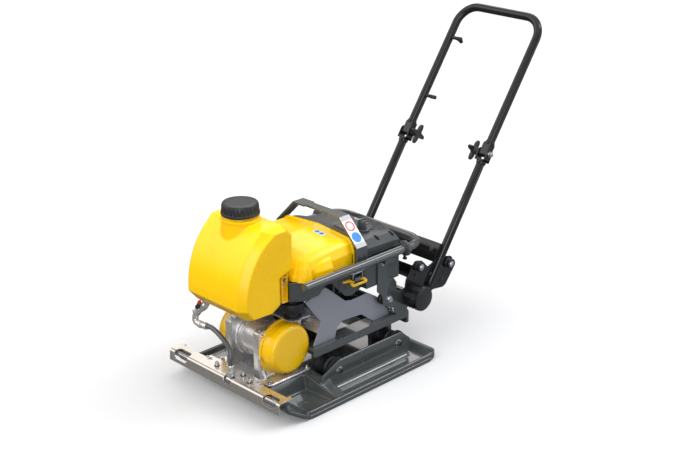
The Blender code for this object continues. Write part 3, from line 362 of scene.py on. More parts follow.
def turned(profile, centre, axis, segments=64, ring=False, ripple=None):
    """A profile of (radius, distance) turned about an axis; ripple may change the radius round it."""
    direction = direction_of(axis)
    across, up = frame_along(direction)
    origin = Vector(centre)
    points, rows = [], []
    for radius, height in profile:
        if radius < 1e-6:
            rows.append([len(points)] * segments)
            points.append(origin + direction * height)
            continue
        rows.append([len(points) + step for step in range(segments)])
        for step in range(segments):
            angle = 2 * math.pi * step / segments
            reach = ripple(radius, height, angle) if ripple else radius
            arm = across * math.cos(angle) + up * math.sin(angle)
            points.append(origin + direction * height + arm * reach)
    faces = []
    for lower, upper in list(zip(rows, rows[1:])) + ([(rows[-1], rows[0])] if ring else []):
        for step in range(segments):
            after = (step + 1) % segments
            face = list(dict.fromkeys([lower[step], lower[after], upper[after], upper[step]]))
            if len(face) > 2:
                faces.append(face)
    return points, faces


def rod(radius, start, end, segments=24, edge=0.0):
    """A round bar between two points, its end edges rounded by edge."""
    start, end = Vector(start), Vector(end)
    length = (end - start).length
    profile = [(0, 0), (radius, 0), (radius, length), (0, length)]
    if edge:
        profile = [(0, 0), (radius - edge, 0), (radius - edge * 0.3, edge * 0.3), (radius, edge),
                   (radius, length - edge), (radius - edge * 0.3, length - edge * 0.3),
                   (radius - edge, length), (0, length)]
    return turned(profile, start, end - start, segments)


def tube(path, radius, sides=24):
    """A round bar swept along a path, its section turned as little as possible."""
    path = [Vector(point) for point in path]
    heading = (path[1] - path[0]).normalized()
    across = frame_along(heading)[0]
    rings = []
    for index, point in enumerate(path):
        into = (point - path[index - 1]).normalized() if index else heading
        out = (path[index + 1] - point).normalized() if index + 1 < len(path) else into
        tangent = (into + out).normalized()
        across = (across - tangent * across.dot(tangent)).normalized()
        up = tangent.cross(across)
        size = radius(index / (len(path) - 1)) if callable(radius) else radius
        ring = []
        for step in range(sides):
            angle = 2 * math.pi * step / sides
            ring.append(point + (across * math.cos(angle) + up * math.sin(angle)) * size)
        rings.append(ring)
    return loft(rings)


def joined(*shapes):
    """Several (points, faces) shapes as one list, still separate shells."""
    points, faces = [], []
    for more_points, more_faces in shapes:
        base = len(points)
        points += more_points
        faces += [[base + index for index in face] for face in more_faces]
    return points, faces


def mirrored(shape):
    points, faces = shape
    return ([Vector((-point.x, point.y, point.z)) for point in points],
            [list(reversed(face)) for face in faces])


def unchanged(shape):
    return shape


def both_sides(*shapes):
    return joined(*shapes, *[mirrored(shape) for shape in shapes])


HANDS = (("right", unchanged), ("left", mirrored))


def hexagon(size, centre, axis, low, high):
    """Hexagon nut or bolt head: size is half the width across corners."""
    profile = [(0, low), (size - HEAD_EDGE * 2, low), (size, low + HEAD_EDGE), (size, high - HEAD_EDGE),
               (size - HEAD_EDGE * 2, high), (0, high)]
    return turned(profile, centre, axis, 6)


def socket_screw(centre, axis, radius, height, foot=None):
    """Cap screw with a hexagon socket, standing on centre, with an optional washer."""
    hole, deep = radius * 0.56, height * 0.55
    profile = [(0, 0), (radius, 0), (radius, height - HEAD_EDGE), (radius - HEAD_EDGE, height),
               (hole, height), (hole, height - deep), (0, height - deep)]
    shape = turned(profile, centre, axis, 24)
    return joined(shape, turned(rect(0, -0.0001, foot, 0.0012), centre, axis, 24)) if foot else shape


def finish_mesh(mesh, look, sharp_deg):
    mesh.materials.clear()
    mesh.materials.append(look)
    mesh.shade_smooth()
    mesh.set_sharp_from_angle(angle=math.radians(sharp_deg))


def piece(name, shape, look, body="machine", replaces=(), sharp=35, bevel=0.0, segments=2, bevel_angle=30):
    """A finished visible piece from (points, faces) or a mesh."""
    mesh = as_mesh(name, shape)
    mesh.name = name
    finish_mesh(mesh, look, sharp)
    obj = placed(name, mesh)
    if bevel:
        edge = obj.modifiers.new("edges", "BEVEL")
        edge.width = bevel
        edge.segments = segments
        edge.limit_method = "ANGLE"
        edge.angle_limit = math.radians(bevel_angle)
        edge.harden_normals = False
        edge.miter_outer = "MITER_ARC"
    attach(obj, body)
    if replaces:
        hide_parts(*replaces)
    return obj


def pair(name, shape, look, body="machine", replaces="", *rest, **kind):
    """A piece on the right and its mirror image on the left; %s in the names stands for the side."""
    for hand, flip in HANDS:
        stands_for = [replaces.replace("%s", hand)] if replaces else ()
        piece(name.replace("%s", hand), flip(shape), look, body.replace("%s", hand), stands_for, *rest,
              **kind)


def cad_mesh(node):
    """A copy of a CAD node's mesh with its flat faces whole again."""
    bm = bmesh.new()
    bm.from_mesh(NODES[node].data)
    bmesh.ops.remove_doubles(bm, verts=bm.verts, dist=SAME_PLACE)
    bmesh.ops.dissolve_limit(bm, angle_limit=math.radians(1.5), verts=bm.verts, edges=bm.edges)
    return mesh_from(bm, node)


def refined(node, look, name, bevel=0.0005, segments=2, angle=40):
    """The CAD node's own shape with its edges rounded."""
    return piece(name, cad_mesh(node), look, "machine", [node], 35, bevel, segments, angle)


def evaluated(obj):
    """The object's mesh with its modifiers applied."""
    depsgraph = bpy.context.evaluated_depsgraph_get()
    return bpy.data.meshes.new_from_object(obj.evaluated_get(depsgraph))


def cut_away(shape, cutters):
    """The shape with the cutters' shapes taken out of it, as a mesh."""
    target = placed("target", as_mesh("target", shape))
    others = []
    for cutter in cutters:
        others.append(placed("cutter", mesh_of("cutter", *cutter)))
        step = target.modifiers.new("cut", "BOOLEAN")
        step.object = others[-1]
        step.operation = "DIFFERENCE"
        step.solver = "EXACT"
    mesh = evaluated(target)
    for obj in (target, *others):
        bpy.data.objects.remove(obj, do_unlink=True)
    return mesh


def moulded(shape, voxel, smoothing):
    """Overlapping shapes merged into one body with soft edges and fillets, as a mesh."""
    obj = placed("mould", as_mesh("mould", shape))
    remesh = obj.modifiers.new("merge", "REMESH")
    remesh.mode = "VOXEL"
    remesh.voxel_size = voxel
    relax = obj.modifiers.new("relax", "SMOOTH")
    relax.factor = 0.5
    relax.iterations = smoothing
    mesh = evaluated(obj)
    bpy.data.objects.remove(obj, do_unlink=True)
    return mesh


# ---------------------------------------------------------------- tank

def tank_profile(corners, curve):
    """Side view of the tank: its corners, with the front drawn as a smooth curve."""
    return corners[:3] + smooth_route(curve, 6) + corners[3:]


def water_tank():
    front = tank_profile([(-0.248, 0.302), (-0.279, 0.2865), (-0.357, 0.2865), (-0.225, 0.531),
                          (-0.2033, 0.512), (-0.2033, 0.398), (-0.25, 0.384)],
                         [(-0.387, 0.321), (-0.386, 0.355), (-0.378, 0.4), (-0.36, 0.445), (-0.333, 0.487),
                          (-0.293, 0.5275)])
    side = tank_profile([(-0.248, 0.306), (-0.279, 0.288), (-0.345, 0.291), (-0.222, 0.517), (-0.2033, 0.5),
                         (-0.2033, 0.398), (-0.25, 0.384)],
                        [(-0.368, 0.32), (-0.367, 0.355), (-0.358, 0.4), (-0.338, 0.445), (-0.306, 0.486),
                         (-0.262, 0.517)])
    skin = loft([[lay(point, "X", x) for point in outline]
                 for x, outline in ((-0.125, side), (-0.103, front), (0.103, front), (0.125, side))])
    neck_profile = [(0, 0.42), (0.059, 0.44), (0.056, 0.49), (0.053, 0.532), (0.051, 0.5385),
                    (0.0455, 0.541), (0.0455, 0.56), (0, 0.56)]
    neck = turned(neck_profile, (0, CAP_Y, 0), "Z", 96)
    collar = turned(rect(0, 0.533, 0.0545, 0.54), (0, CAP_Y, 0), "Z", 96)
    body = moulded(joined(skin, neck, collar), 0.0019, 3)
    piece("tank_body", body, YELLOW_PLASTIC, "machine", ["water_tank"], 60)


def tank_cap():
    ribs = 26

    def ribbed(radius, height, angle):
        if 0.5575 < height < 0.5755 and radius > 0.046:
            wave = math.cos(angle * ribs)
            return radius + 0.0009 * max(-1.0, min(1.0, wave * 2.2 + 1.1))
        return radius

    profile = [(0, 0.5815), (0.03, 0.5815), (0.0462, 0.5815), (0.0482, 0.5808), (0.0495, 0.579),
               (0.05, 0.5765), (0.0503, 0.5752), (0.0506, 0.57), (0.051, 0.564), (0.0514, 0.558),
               (0.0516, 0.557), (0.0534, 0.5562), (0.054, 0.5548), (0.054, 0.55), (0.0532, 0.5486),
               (0.0505, 0.5485), (0.0475, 0.5485), (0.0465, 0.56), (0.0465, 0.5665), (0, 0.5665)]
    shape = turned(profile, (0, CAP_Y, 0), "Z", ribs * 12, ripple=ribbed)
    piece("screw_cap", shape, BLACK_PLASTIC, "cap", ["tank_cap"], 50)


def tank_bracket():
    """Channel behind the tank: a back plate and two sunken cheeks with a raised border."""
    back = prism(rect(-0.12, 0.3035, 0.12, 0.3845), "Y", -0.2175, -0.2135)
    front, rear, low, high = -0.239, -0.214, 0.3035, 0.38
    outer = soft(rect(front, low, rear, high), 0.004, 4)
    inner = soft(rect(front + 0.004, low + 0.0045, rear - 0.004, high - 0.013), 0.003, 4)
    cheek = loft([[lay(point, "X", x) for point in outline] for outline,
                  x in ((outer, 0.106), (outer, 0.119), (outer, 0.12), (inner, 0.12), (inner, 0.11))])
    piece("tank_channel", joined(back, both_sides(cheek)), YELLOW_PAINT, "machine", ["tank_bracket"], 35)
    bolt = [turned([(0, 0), (0.0056, 0), (0.0056, 0.001), (0.004, 0.0014), (0.004, 0.004), (0, 0.0044)],
                   (0.11, -0.2265, 0.35), "X", 20),
            turned([(0, 0), (0.0034, 0), (0.0034, 0.0018), (0, 0.0024)], (0.1198, -0.229, 0.3735), "X", 20)]
    piece("tank_channel_screws", both_sides(*bolt), STEEL)
    washer = turned(rect(0, 0, 0.0062, 0.0009), (0.1199, -0.229, 0.3735), "X", 24)
    piece("tank_channel_washers", both_sides(washer), DARK_STEEL)


# ---------------------------------------------------------------- exciter

def exciter():
    outer = soft([((0.0, 0.119), 0), ((0.0682, 0.119), 0.012), ((0.0752, 0.101), 0.012),
                  ((0.0772, 0.083), 0.002), ((0.0762, 0.0805), 0.0012), ((0.0785, 0.079), 0.0012),
                  ((0.0818, 0.0788), 0.0012), ((0.083, 0.077), 0.0012), ((0.083, 0.0723), 0.0006)], 0.001,
                 5, False)
    inner = [(0.074, 0.0723), (0.0735, 0.1), (0.067, 0.116), (0, 0.116)]
    shape = turned(outer + inner, EXCITER, "X", 128)
    pair("cover_%s", shape, YELLOW_PAINT, "machine", "exciter_cover_%s", 40)
    clips = []
    for degrees in (68, -78, 188):
        angle = math.radians(degrees)
        across = Vector((0, math.cos(angle), math.sin(angle)))
        along = Vector((0, -math.sin(angle), math.cos(angle)))
        base = EXCITER + across * 0.0815
        for low, high, thick in ((0.0715, 0.0815, 0.003), (0.0795, 0.0815, 0.0065)):
            clips.append(loft([[base + Vector((x, 0, 0)) + along * (u * 0.0042) + across * (v * thick)
                                for u, v in rect(-1, 0, 1, 1)] for x in (low, high)]))
        stud = base + across * 0.003
        clips.append(rod(0.003, stud + Vector((0.08, 0, 0)), stud + Vector((0.084, 0, 0)), 12, 0.0005))
    piece("cover_clips", both_sides(*clips), STEEL, sharp=30)
    housing()
    piece("rotor_look", cad_mesh("motor_rotor"), STEEL, "rotor", ["motor_rotor"], 40, 0.0008)
    gland = (0.0595, -0.1227, 0.155)
    piece("gland_look", joined(hexagon(0.0125, gland, "Y", 0.0, 0.01),
                               turned([(0, 0.0095), (0.0095, 0.0095), (0.0105, 0.012), (0.0105, 0.019),
                                       (0.0075, 0.0255), (0, 0.0258)], gland, "Y", 24)), BLACK_PLASTIC,
          "machine", ["motor_cable_gland"], 30)


def housing():
    """Cast housing: foot with rounded corners, ribbed end plates and the ringed barrel."""
    foot = prism(soft(rect(-0.115, -0.289, 0.115, -0.121), 0.016, 6), "Z", 0.058, 0.0665)
    plate = soft([((-0.287, 0.06), 0.0), ((-0.287, 0.214), 0.012), ((-0.123, 0.214), 0.012),
                  ((-0.123, 0.06), 0.0)], 0.012, 5)
    gusset = [(0.07, 0.06), (0.086, 0.06), (0.07, 0.098)]
    ends = both_sides(prism(plate, "X", 0.047, 0.072),
                      *[prism(gusset, "Y", y - 0.006, y + 0.006) for y in (-0.272, -0.138)])
    piece("housing_body", moulded(joined(foot, ends), 0.0024, 3), CAST, "machine", ["exciter_housing"], 50)
    profile = [(0.031, -0.0468), (0.06, -0.0468), (0.06, -0.03), (0.0622, -0.0292), (0.0622, -0.0238),
               (0.06, -0.023), (0.06, 0.0468), (0.031, 0.0468)]
    barrel = turned(soft(profile, 0.0008, 2), EXCITER, "X", 96, ring=True)
    fillet = [(0.055, 0.0475), (0.068, 0.0475), (0.0645, 0.044), (0.0615, 0.0425), (0.055, 0.0425)]
    fillets = both_sides(turned(fillet, EXCITER, "X", 96, ring=True))
    piece("motor_barrel", joined(barrel, fillets), CAST, sharp=35)
    screws = [socket_screw((0.102, y, 0.0665), "Z", 0.0062, 0.0075, 0.0095) for y in (-0.276, -0.134)]
    for y in (-0.273, -0.137):
        screws.append(socket_screw((0.0725, y, 0.2), "X", 0.0048, 0.004))
        screws.append(socket_screw((0.0595, y, 0.2138), "Z", 0.0042, 0.0035))
    piece("housing_screws", both_sides(*screws), STEEL)


# ---------------------------------------------------------------- sprinkler and water line

def sprinkler():
    refined("sprinkler_bar", ZINC, "sprinkler_sheet")
    top = 0.085
    screws, washers = [], []
    for x, y in ((-0.056, -0.335), (0.042, -0.321), (0.086, -0.336)):
        screws.append(socket_screw((x, y, top + 0.0012), "Z", 0.0058, 0.012))
        washers.append(turned(rect(0, 0, 0.0084, 0.0014), (x, y, top - 0.0001), "Z", 28))
    for x in (-0.108, 0.11):
        screws.append(socket_screw((x, -0.322, top - 0.0001), "Z", 0.004, 0.0032))
        clip = [(x - 0.014, -0.318, top + 0.0022), (x - 0.004, -0.318, top + 0.0036),
                (x + 0.004, -0.318, top + 0.0022), (x + 0.01, -0.318, top + 0.003)]
        screws.append(tube(soft(clip, 0.003, 3, False), 0.0016, 10))
    piece("bar_screws", joined(*screws), STEEL)
    piece("bar_washers", joined(*washers), DARK_STEEL)
    profile = soft([(0.0088, -0.2345), (0.0088, 0.2345), (0.0068, 0.2345), (0.0068, -0.2345)], 0.0005, 2)
    pipe = turned(profile, (0, *PIPE), "X", 40, ring=True)
    piece("spray_pipe", pipe, STEEL, "machine", ["spray_tube"])
    plug = turned([(0, 0), (0.0062, 0), (0.0066, 0.0105), (0.0086, 0.0108), (0.0086, 0.013),
                   (0.004, 0.0132), (0.004, 0.0105), (0, 0.0105)], (0.224, *PIPE), "X", 24)
    piece("pipe_plugs", both_sides(plug), DARK_STEEL)


def inlet_fitting(inlet):
    nut = hexagon(0.0118, inlet, "Z", 0.007, 0.02)
    tail = turned([(0, 0.019), (0.0078, 0.019), (0.0078, 0.0225), (0.0092, 0.0232), (0.0098, 0.025),
                   (0.0098, 0.0385), (0.009, 0.04), (0, 0.04)], inlet, "Z", 32)
    thread = turned(rect(0, 0, 0.0062, 0.007), inlet, "Z", 24)
    piece("inlet_fitting", joined(thread, nut, tail), NICKEL, "machine", ["spray_inlet"], 30)


def ball_valve():
    thread = turned(rect(0, 0, 0.0085, 0.0085), VALVE_TOP, VALVE_AXIS, 24)
    nut = hexagon(0.0135, VALVE_TOP, VALVE_AXIS, 0.008, 0.0205)
    body = turned([(0, 0.02), (0.0105, 0.02), (0.015, 0.0255), (0.0165, 0.033), (0.0165, 0.038),
                   (0.015, 0.045), (0.0105, 0.05), (0, 0.05)], VALVE_TOP, VALVE_AXIS, 32)
    lower_nut = hexagon(0.0138, VALVE_TOP, VALVE_AXIS, 0.0495, 0.06)
    end = turned([(0, 0.0598), (0.0098, 0.0598), (0.0098, 0.0685), (0, 0.07)], VALVE_TOP, VALVE_AXIS, 24)
    piece("ball_valve", joined(thread, nut, body, lower_nut, end), NICKEL, "machine", ["valve_body"], 30)


def hose_elbow(tail_start, tail_axis):
    """Bent fitting from the valve to the hose, with its ribbed sleeve and a small bleed pin."""
    valve_end = VALVE_TOP + VALVE_AXIS * 0.0703
    bend = Vector((valve_end.x - 0.008, -0.337, 0.196))
    route = [valve_end, valve_end + VALVE_AXIS * 0.006, bend, tail_start]
    elbow = tube(soft(route, 0.013, 8, False), 0.0092, 28)
    base = tail_start - tail_axis * 0.002
    sleeve = [(0, 0), (0.01, 0), (0.0108, 0.0008), (0.0108, 0.0095), (0.0098, 0.0105), (0.0082, 0.011),
              (0.0082, 0.019), (0.0092, 0.02), (0.01, 0.021), (0.01, 0.0255), (0.0093, 0.0262),
              (0.0093, 0.028), (0.01, 0.0288), (0.01, 0.033), (0.0092, 0.034), (0, 0.034)]
    nut = hexagon(0.0128, valve_end - VALVE_AXIS * 0.0003, VALVE_AXIS, 0.0, 0.008)
    pin_foot = base + tail_axis * 0.015
    pin = rod(0.003, pin_foot, pin_foot + Vector((0, -0.004, 0.0135)), 12, 0.0006)
    parts = joined(elbow, turned(sleeve, base, tail_axis, 32), nut, pin)
    piece("elbow_fitting", parts, NICKEL, "machine", ["hose_elbow"], 30)


def water_line():
    inlet = Vector((0.022, -0.3495, 0.0815))
    tail_start = Vector((-0.124, -0.336, 0.193))
    tail_axis = Vector((0.96, 0.02, 0.1)).normalized()
    inlet_fitting(inlet)
    ball_valve()
    hose_elbow(tail_start, tail_axis)
    hose_start = tail_start + tail_axis * 0.0332
    hose_end = inlet + Vector((0, 0, 0.0412))
    guides = [hose_start, hose_start + tail_axis * 0.02, (-0.03, -0.339, 0.189), (0.012, -0.344, 0.168),
              hose_end + Vector((0.001, 0.001, 0.022)), hose_end]
    route = smooth_route(guides, 8)
    hose = piece("sprinkler_hose", tube(route, 0.0072, 28), HOSE, "machine", ["water_hose"], 40)
    valve_lever()


def valve_lever():
    """Hub of the valve's lever, its leaning blade and the coloured grip over the blade's tip."""
    hub = VALVE_TOP + VALVE_AXIS * 0.035
    near = hub.y - 0.018
    lean = Matrix.Rotation(math.radians(-34), 2)

    def leaning(corners, low, high):
        outline = [Vector((hub.x, hub.z)) + lean @ point for point in soft(corners, 0.003, 4)]
        return prism(outline, "Y", near - high, near - low)

    boss = rod(0.006, (hub.x, near + 0.0005, hub.z), (hub.x, near - 0.008, hub.z), 24, 0.0008)
    nut = rod(0.003, (hub.x, near - 0.0078, hub.z), (hub.x, near - 0.01, hub.z), 6)
    blade = leaning([(-0.0042, -0.002), (0.0042, -0.002), (0.0046, 0.024), (-0.0046, 0.024)], 0.003, 0.007)
    piece("valve_lever_look", joined(boss, nut, blade), BLACK_PLASTIC, "valve_lever", ["valve_lever"], 30,
          0.0005)
    grip = leaning([(-0.0052, 0.017), (0.0052, 0.017), (0.0056, 0.028), (-0.0056, 0.028)], 0.0022, 0.0078)
    piece("valve_lever_grip", grip, RED_GRIP, "valve_lever", sharp=30, bevel=0.0008)


# ---------------------------------------------------------------- base plate and rubber mounts

RIM_WALL = 0.2476


def base():
    """The base casting: CAD shape with beads along its rims and ridges, all run together."""
    extra = [tube([(0.247, -0.262, 0.0238), (0.247, 0.248, 0.0238)], 0.0027, 12),
             tube([(0.114, -0.128, 0.056), (0.241, -0.116, 0.024)], 0.003, 12),
             tube([(0.116, -0.156, 0.056), (0.241, -0.15, 0.024)], 0.003, 12)]
    bm = bmesh.new()
    bm.from_mesh(cad_mesh("base_plate"))
    bmesh.ops.triangulate(bm, faces=bm.faces)
    bm.from_mesh(mesh_of("beads", *both_sides(*extra)))
    shell = moulded(mesh_from(bm, "casting"), 0.0029, 2)
    for vertex in shell.vertices:
        vertex.co.x = max(-RIM_WALL, min(RIM_WALL, vertex.co.x))
    piece("base_casting", shell, GREY_PAINT, "machine", ["base_plate"], 60)
    beads = []
    for x, z, radius in ((0.2464, 0.0236, 0.0034), (0.2476, 0.011, 0.0022)):
        beads.append(tube([(x, -0.258, z), (x, -0.15, z), (x, 0.1, z), (x, 0.239, z)], radius, 20))
    piece("rim_beads", both_sides(*beads), GREY_PAINT, sharp=50)


def buffers():
    outer, inner = 0.1717, 0.1083
    profile = soft([((0, inner), 0), ((0.037, inner), 0.001), ((0.037, inner + 0.0062), 0.0015),
                    ((0.03, inner + 0.0095), 0.002), ((0.0255, 0.134), 0.01), ((0.03, 0.1425), 0.004),
                    ((0.031, 0.1465), 0.003), ((0.027, 0.151), 0.003), ((0.03, outer - 0.0095), 0.002),
                    ((0.037, outer - 0.007), 0.0015), ((0.037, outer), 0.001), ((0, outer), 0)], 0.001, 4,
                   False)
    washer = [(0, 0), (0.0118, 0), (0.0124, 0.0006), (0.0124, 0.0016), (0.0112, 0.0026), (0, 0.0026)]
    bolt = [(0, 0.001), (0.0086, 0.001), (0.0088, 0.0028), (0.0086, 0.0075), (0.0078, 0.0084),
            (0.0048, 0.0084), (0.0044, 0.005), (0, 0.005)]
    washers = []
    for end, y in BUFFER_Y.items():
        seat = (FLANGE_FACE, y, BUFFER_Z)
        washers.append(turned(washer, seat, "X", 32))
        pair("buffer_" + end + "_%s_look", turned(profile, (0, y, BUFFER_Z), "X", 72), RUBBER, "machine",
             "buffer_" + end + "_%s", 40)
        pair("buffer_bolt_" + end + "_%s_look", turned(bolt, seat, "X", 32), DARK_STEEL, "machine",
             "buffer_bolt_" + end + "_%s", 30)
    piece("flange_washers", both_sides(*washers), STEEL, sharp=30)


def frame_parts():
    trims = [prism(rect(side * 0.143, 0.1, side * 0.156, 0.115), "Y", -0.17, 0.236) for side in (-1, 1)]
    piece("rails", cut_away(cad_mesh("lower_frame"), trims), GREY_PAINT, "machine", ["lower_frame"], 35,
          0.0024, 4, 40)
    side_plates()
    cross_sheet()
    mount = soft([((0, 0.24), 0), ((0.026, 0.24), 0.001), ((0.026, 0.2455), 0.002),
                  ((0.0185, 0.249), 0.003), ((0.0185, 0.262), 0.003), ((0.0335, 0.267), 0.003),
                  ((0.0342, 0.278), 0.004), ((0.033, 0.2885), 0.003), ((0.02, 0.2905), 0.001),
                  ((0.02, 0.3027), 0.001), ((0, 0.3027), 0)], 0.001, 4, False)
    shape = turned(mount, (0.101, -0.185, 0), "Z", 64)
    pair("front_mount_%s_look", shape, RUBBER, "machine", "front_mount_%s", 40)
    screw = hexagon(0.0085, (0.101, -0.185, 0.2349), (0, 0, -1), 0.0, 0.006)
    piece("frame_screws", both_sides(screw), STEEL, sharp=30)


def cross_sheet():
    """Bright folded sheet between the side plates, with a level shelf under the console mounts."""
    half = 0.13
    line = soft([(-0.147, 0.262), (-0.1075, 0.211), (-0.121, 0.178)], 0.006, 6, False)
    back = [Vector((point.x + 0.0032, point.y)) for point in reversed(line)]
    shelf = soft([(-0.121, -0.207), (0.121, -0.207), (0.128, -0.1275), (-0.128, -0.1275)], 0.016, 6)
    piece("cross_sheet_look", prism(line + back, "X", -half, half), POLISHED, "machine", ["cross_sheet"], 30)
    piece("mount_shelf", prism(shelf, "Z", 0.2352, 0.2397), POLISHED, sharp=30, bevel=0.0006)


def side_plates():
    """Bright plates, each with a folded window flap near its rear foot."""
    for hand, _ in HANDS:
        refined("side_plate_" + hand, SILVER_PAINT, "side_plate_" + hand + "_look")
    flap = soft([(0.086, 0.181), (0.128, 0.181), (0.142, 0.148), (0.13, 0.141), (0.11, 0.141)], 0.002, 3)
    piece("side_flaps", both_sides(prism(flap, "X", 0.1275, 0.13)), SILVER_PAINT, sharp=30)


# ---------------------------------------------------------------- console

HOOD_STATIONS = (
    # y, half width, side top, shoulder, crown
    (-0.2015, 0.125, 0.37, 0.38, 0.39), (-0.196, 0.133, 0.374, 0.388, 0.402),
    (-0.186, 0.14, 0.378, 0.397, 0.415), (-0.16, 0.147, 0.384, 0.408, 0.43),
    (-0.11, 0.148, 0.39, 0.415, 0.436), (-0.03, 0.1484, 0.393, 0.421, 0.4365),
    (0.022, 0.149, 0.394, 0.422, 0.4355))
HOOD_LOW, HOOD_BACK = TRAY_RIM + 0.0004, 0.012
HOOD_EASE = 0.014


def station_at(y):
    """The hood's section sizes at y, eased from station to station."""
    near = [between(HOOD_STATIONS, y + HOOD_EASE * part) for part in (-1.0, -0.5, 0.0, 0.5, 1.0)]
    return [sum(values) / len(near) for values in zip(*near)]


def hood_line(y):
    """The hood's outline on one side at y, from the side panel's top to the middle."""
    _, half, side_top, shoulder, crown = station_at(y)
    return [((half, side_top), 0.003), ((half - 0.009, shoulder - 0.004), 0.009),
            ((half - 0.023, shoulder + (crown - shoulder) * 0.5), 0.02),
            ((half * 0.48, crown - 0.002), 0.05), ((0, crown + 0.003), 0.03)]


def hood_section(y, swell=0.0):
    """Closed outline of the hood across the machine at y, grown by swell; it runs on below the rim."""
    line = [((point[0] + swell, point[1] + swell), radius) for point, radius in hood_line(y)]
    line[-1] = ((0, line[-1][0][1]), line[-1][1])
    return arched([((line[0][0][0], HOOD_LOW - 0.012), 0.0)] + line, y, 7)


def fender():
    """The fuller front side of the hood, from the corner lobe back to the step before the flat side panel."""
    rings = []
    for y, half, top in ((-0.156, 0.138, 0.396), (-0.147, 0.147, 0.4), (-0.134, 0.1535, 0.405),
                         (-0.11, 0.1575, 0.4085), (-0.08, 0.1582, 0.41), (-0.0768, 0.157, 0.4095)):
        corners = [((0.1, HOOD_LOW - 0.012), 0), ((half, HOOD_LOW - 0.012), 0), ((half, 0.376), 0.008),
                   ((half - 0.009, top - 0.01), 0.014), ((half - 0.037, top + 0.006), 0.01),
                   ((0.1, top + 0.006), 0)]
        rings.append([lay(point, "Y", y) for point in soft(corners, 0.0, 6)])
    return loft(rings)


def corner_wedge():
    """Tapered lobe standing up from the front corner of the hood."""
    low = HOOD_LOW - 0.01
    foot = [(0.136, -0.1985, low), (0.156, -0.184, low), (0.16, -0.156, low), (0.13, -0.144, low)]
    waist = [(0.13, -0.1905, 0.393), (0.1485, -0.179, 0.395), (0.151, -0.16, 0.397), (0.125, -0.15, 0.399)]
    top = [(0.125, -0.178, 0.413), (0.138, -0.172, 0.417), (0.14, -0.161, 0.419), (0.124, -0.154, 0.418)]
    return loft([[Vector(corner) for corner in ring] for ring in (foot, waist, top)])


def hood():
    """Moulded hood: crowned body, fenders and corner wedges run together, then hollowed."""
    steps = 24
    start, end = HOOD_STATIONS[0][0], HOOD_STATIONS[-1][0]
    rings = [hood_section(start + (end - start) * step / steps) for step in range(steps + 1)]
    lip = loft([hood_section(y, 0.0022) for y in (0.007, 0.012, 0.02)])
    body = moulded(joined(loft(rings), lip, both_sides(fender(), corner_wedge())), 0.0018, 4)
    bm = bmesh.new()
    bm.from_mesh(body)
    for point, normal in (((0, 0, HOOD_LOW), (0, 0, -1)), ((0, HOOD_BACK, 0), (0, 1, 0))):
        geometry = list(bm.verts) + list(bm.edges) + list(bm.faces)
        bmesh.ops.bisect_plane(bm, geom=geometry, plane_co=point, plane_no=normal, clear_outer=True)
    obj = piece("hood_shell", mesh_from(bm, "hood"), YELLOW_PLASTIC, "machine", ["hood"], 50)
    wall = obj.modifiers.new("wall", "SOLIDIFY")
    wall.thickness = 0.0026
    wall.offset = -1
    hood_patch("hood_patch", 0.0504, 0.02, 0.0088, WHITE_LABEL, 0.0006, 4, 0.15)
    for index, x in enumerate((0.041, 0.0598)):
        hood_patch("hood_dot_%d" % (index + 1), x, 0.0072, 0.0072, BLUE_LABEL, 0.001, 10, 0.9)


def hood_height(x, y):
    """Height of the hood's top at a place on it."""
    return height_over([point for point, _ in reversed(hood_line(y))], x)


def hood_patch(name, x, half_x, half_y, look, lift, steps, roundness):
    """A thin sticker that follows the hood's top, its corners rounded."""
    outline = soft(rect(-half_x, -half_y, half_x, half_y), min(half_x, half_y) * roundness, steps)
    outline = [point + Vector((x, PATCH_Y)) for point in outline]
    piece(name, skin_over(outline, hood_height, -0.0012, lift), look, sharp=30)


def tray():
    refined("console_tray", GREY_PLASTIC, "tray_shell", 0.0016)
    ribs = []
    for index in range(5):
        y = -0.052 + index * 0.024
        ribs.append(prism(rect(y, 0.268 + 0.004 * index, y + 0.004, 0.322), "X", 0.1275, 0.129))
    piece("tray_ribs", both_sides(*ribs), GREY_PLASTIC, sharp=30)


def bridge():
    front = prism(rect(-0.2, 0.3, 0.2, 0.5), "Y", -0.05, HOOD_BACK - 0.0002)
    piece("bridge_shell", cut_away(cad_mesh("console_bridge"), [front]), GREY_PLASTIC, "machine",
          ["console_bridge"], 35, 0.002, 3, 12)
    top = joined(prism(soft([(0.05, 0.425), (0.056, 0.449), (0.118, 0.444), (0.124, 0.425)], 0.004, 3), "Y",
                       0.012, 0.04), prism(soft([(0.06, 0.446), (0.062, 0.4515), (0.112, 0.448),
                                                 (0.114, 0.442)], 0.002, 3), "Y", 0.016, 0.036))
    piece("bridge_block", top, GREY_PLASTIC, sharp=30, bevel=0.0008)
    # Near-black strip on each side of the hood near its back: painted shade of the gap at the seam
    seam = prism(rect(0.003, 0.362, 0.0052, 0.388), "X", 0.1485, 0.15)
    piece("hood_seam_shade", both_sides(seam), PAINTED_GAP_SHADE, sharp=30)


LID_STATIONS = (
    # y, half width, side top, band top, crown
    (0.0505, 0.15, 0.39, 0.404, 0.42), (0.053, 0.15, 0.39, 0.4042, 0.4202),
    (0.11, 0.15, 0.387, 0.402, 0.4175), (0.193, 0.15, 0.3812, 0.3962, 0.4112),
    (0.2, 0.1478, 0.38, 0.3945, 0.4092), (0.2045, 0.144, 0.3782, 0.392, 0.4062),
    (0.206, 0.1405, 0.3768, 0.3895, 0.403))


def lid_line(y):
    """The lid's top as (x, z) points from its middle to its side, at y."""
    _, half, side_top, band_top, crown = between(LID_STATIONS, y)
    return [(0.0, crown + 0.004), (half * 0.4, crown), (half * 0.66, band_top + 0.006),
            (half - 0.025, band_top), (half, side_top)]


def lid_height(x, y):
    return height_over(lid_line(y), abs(x))


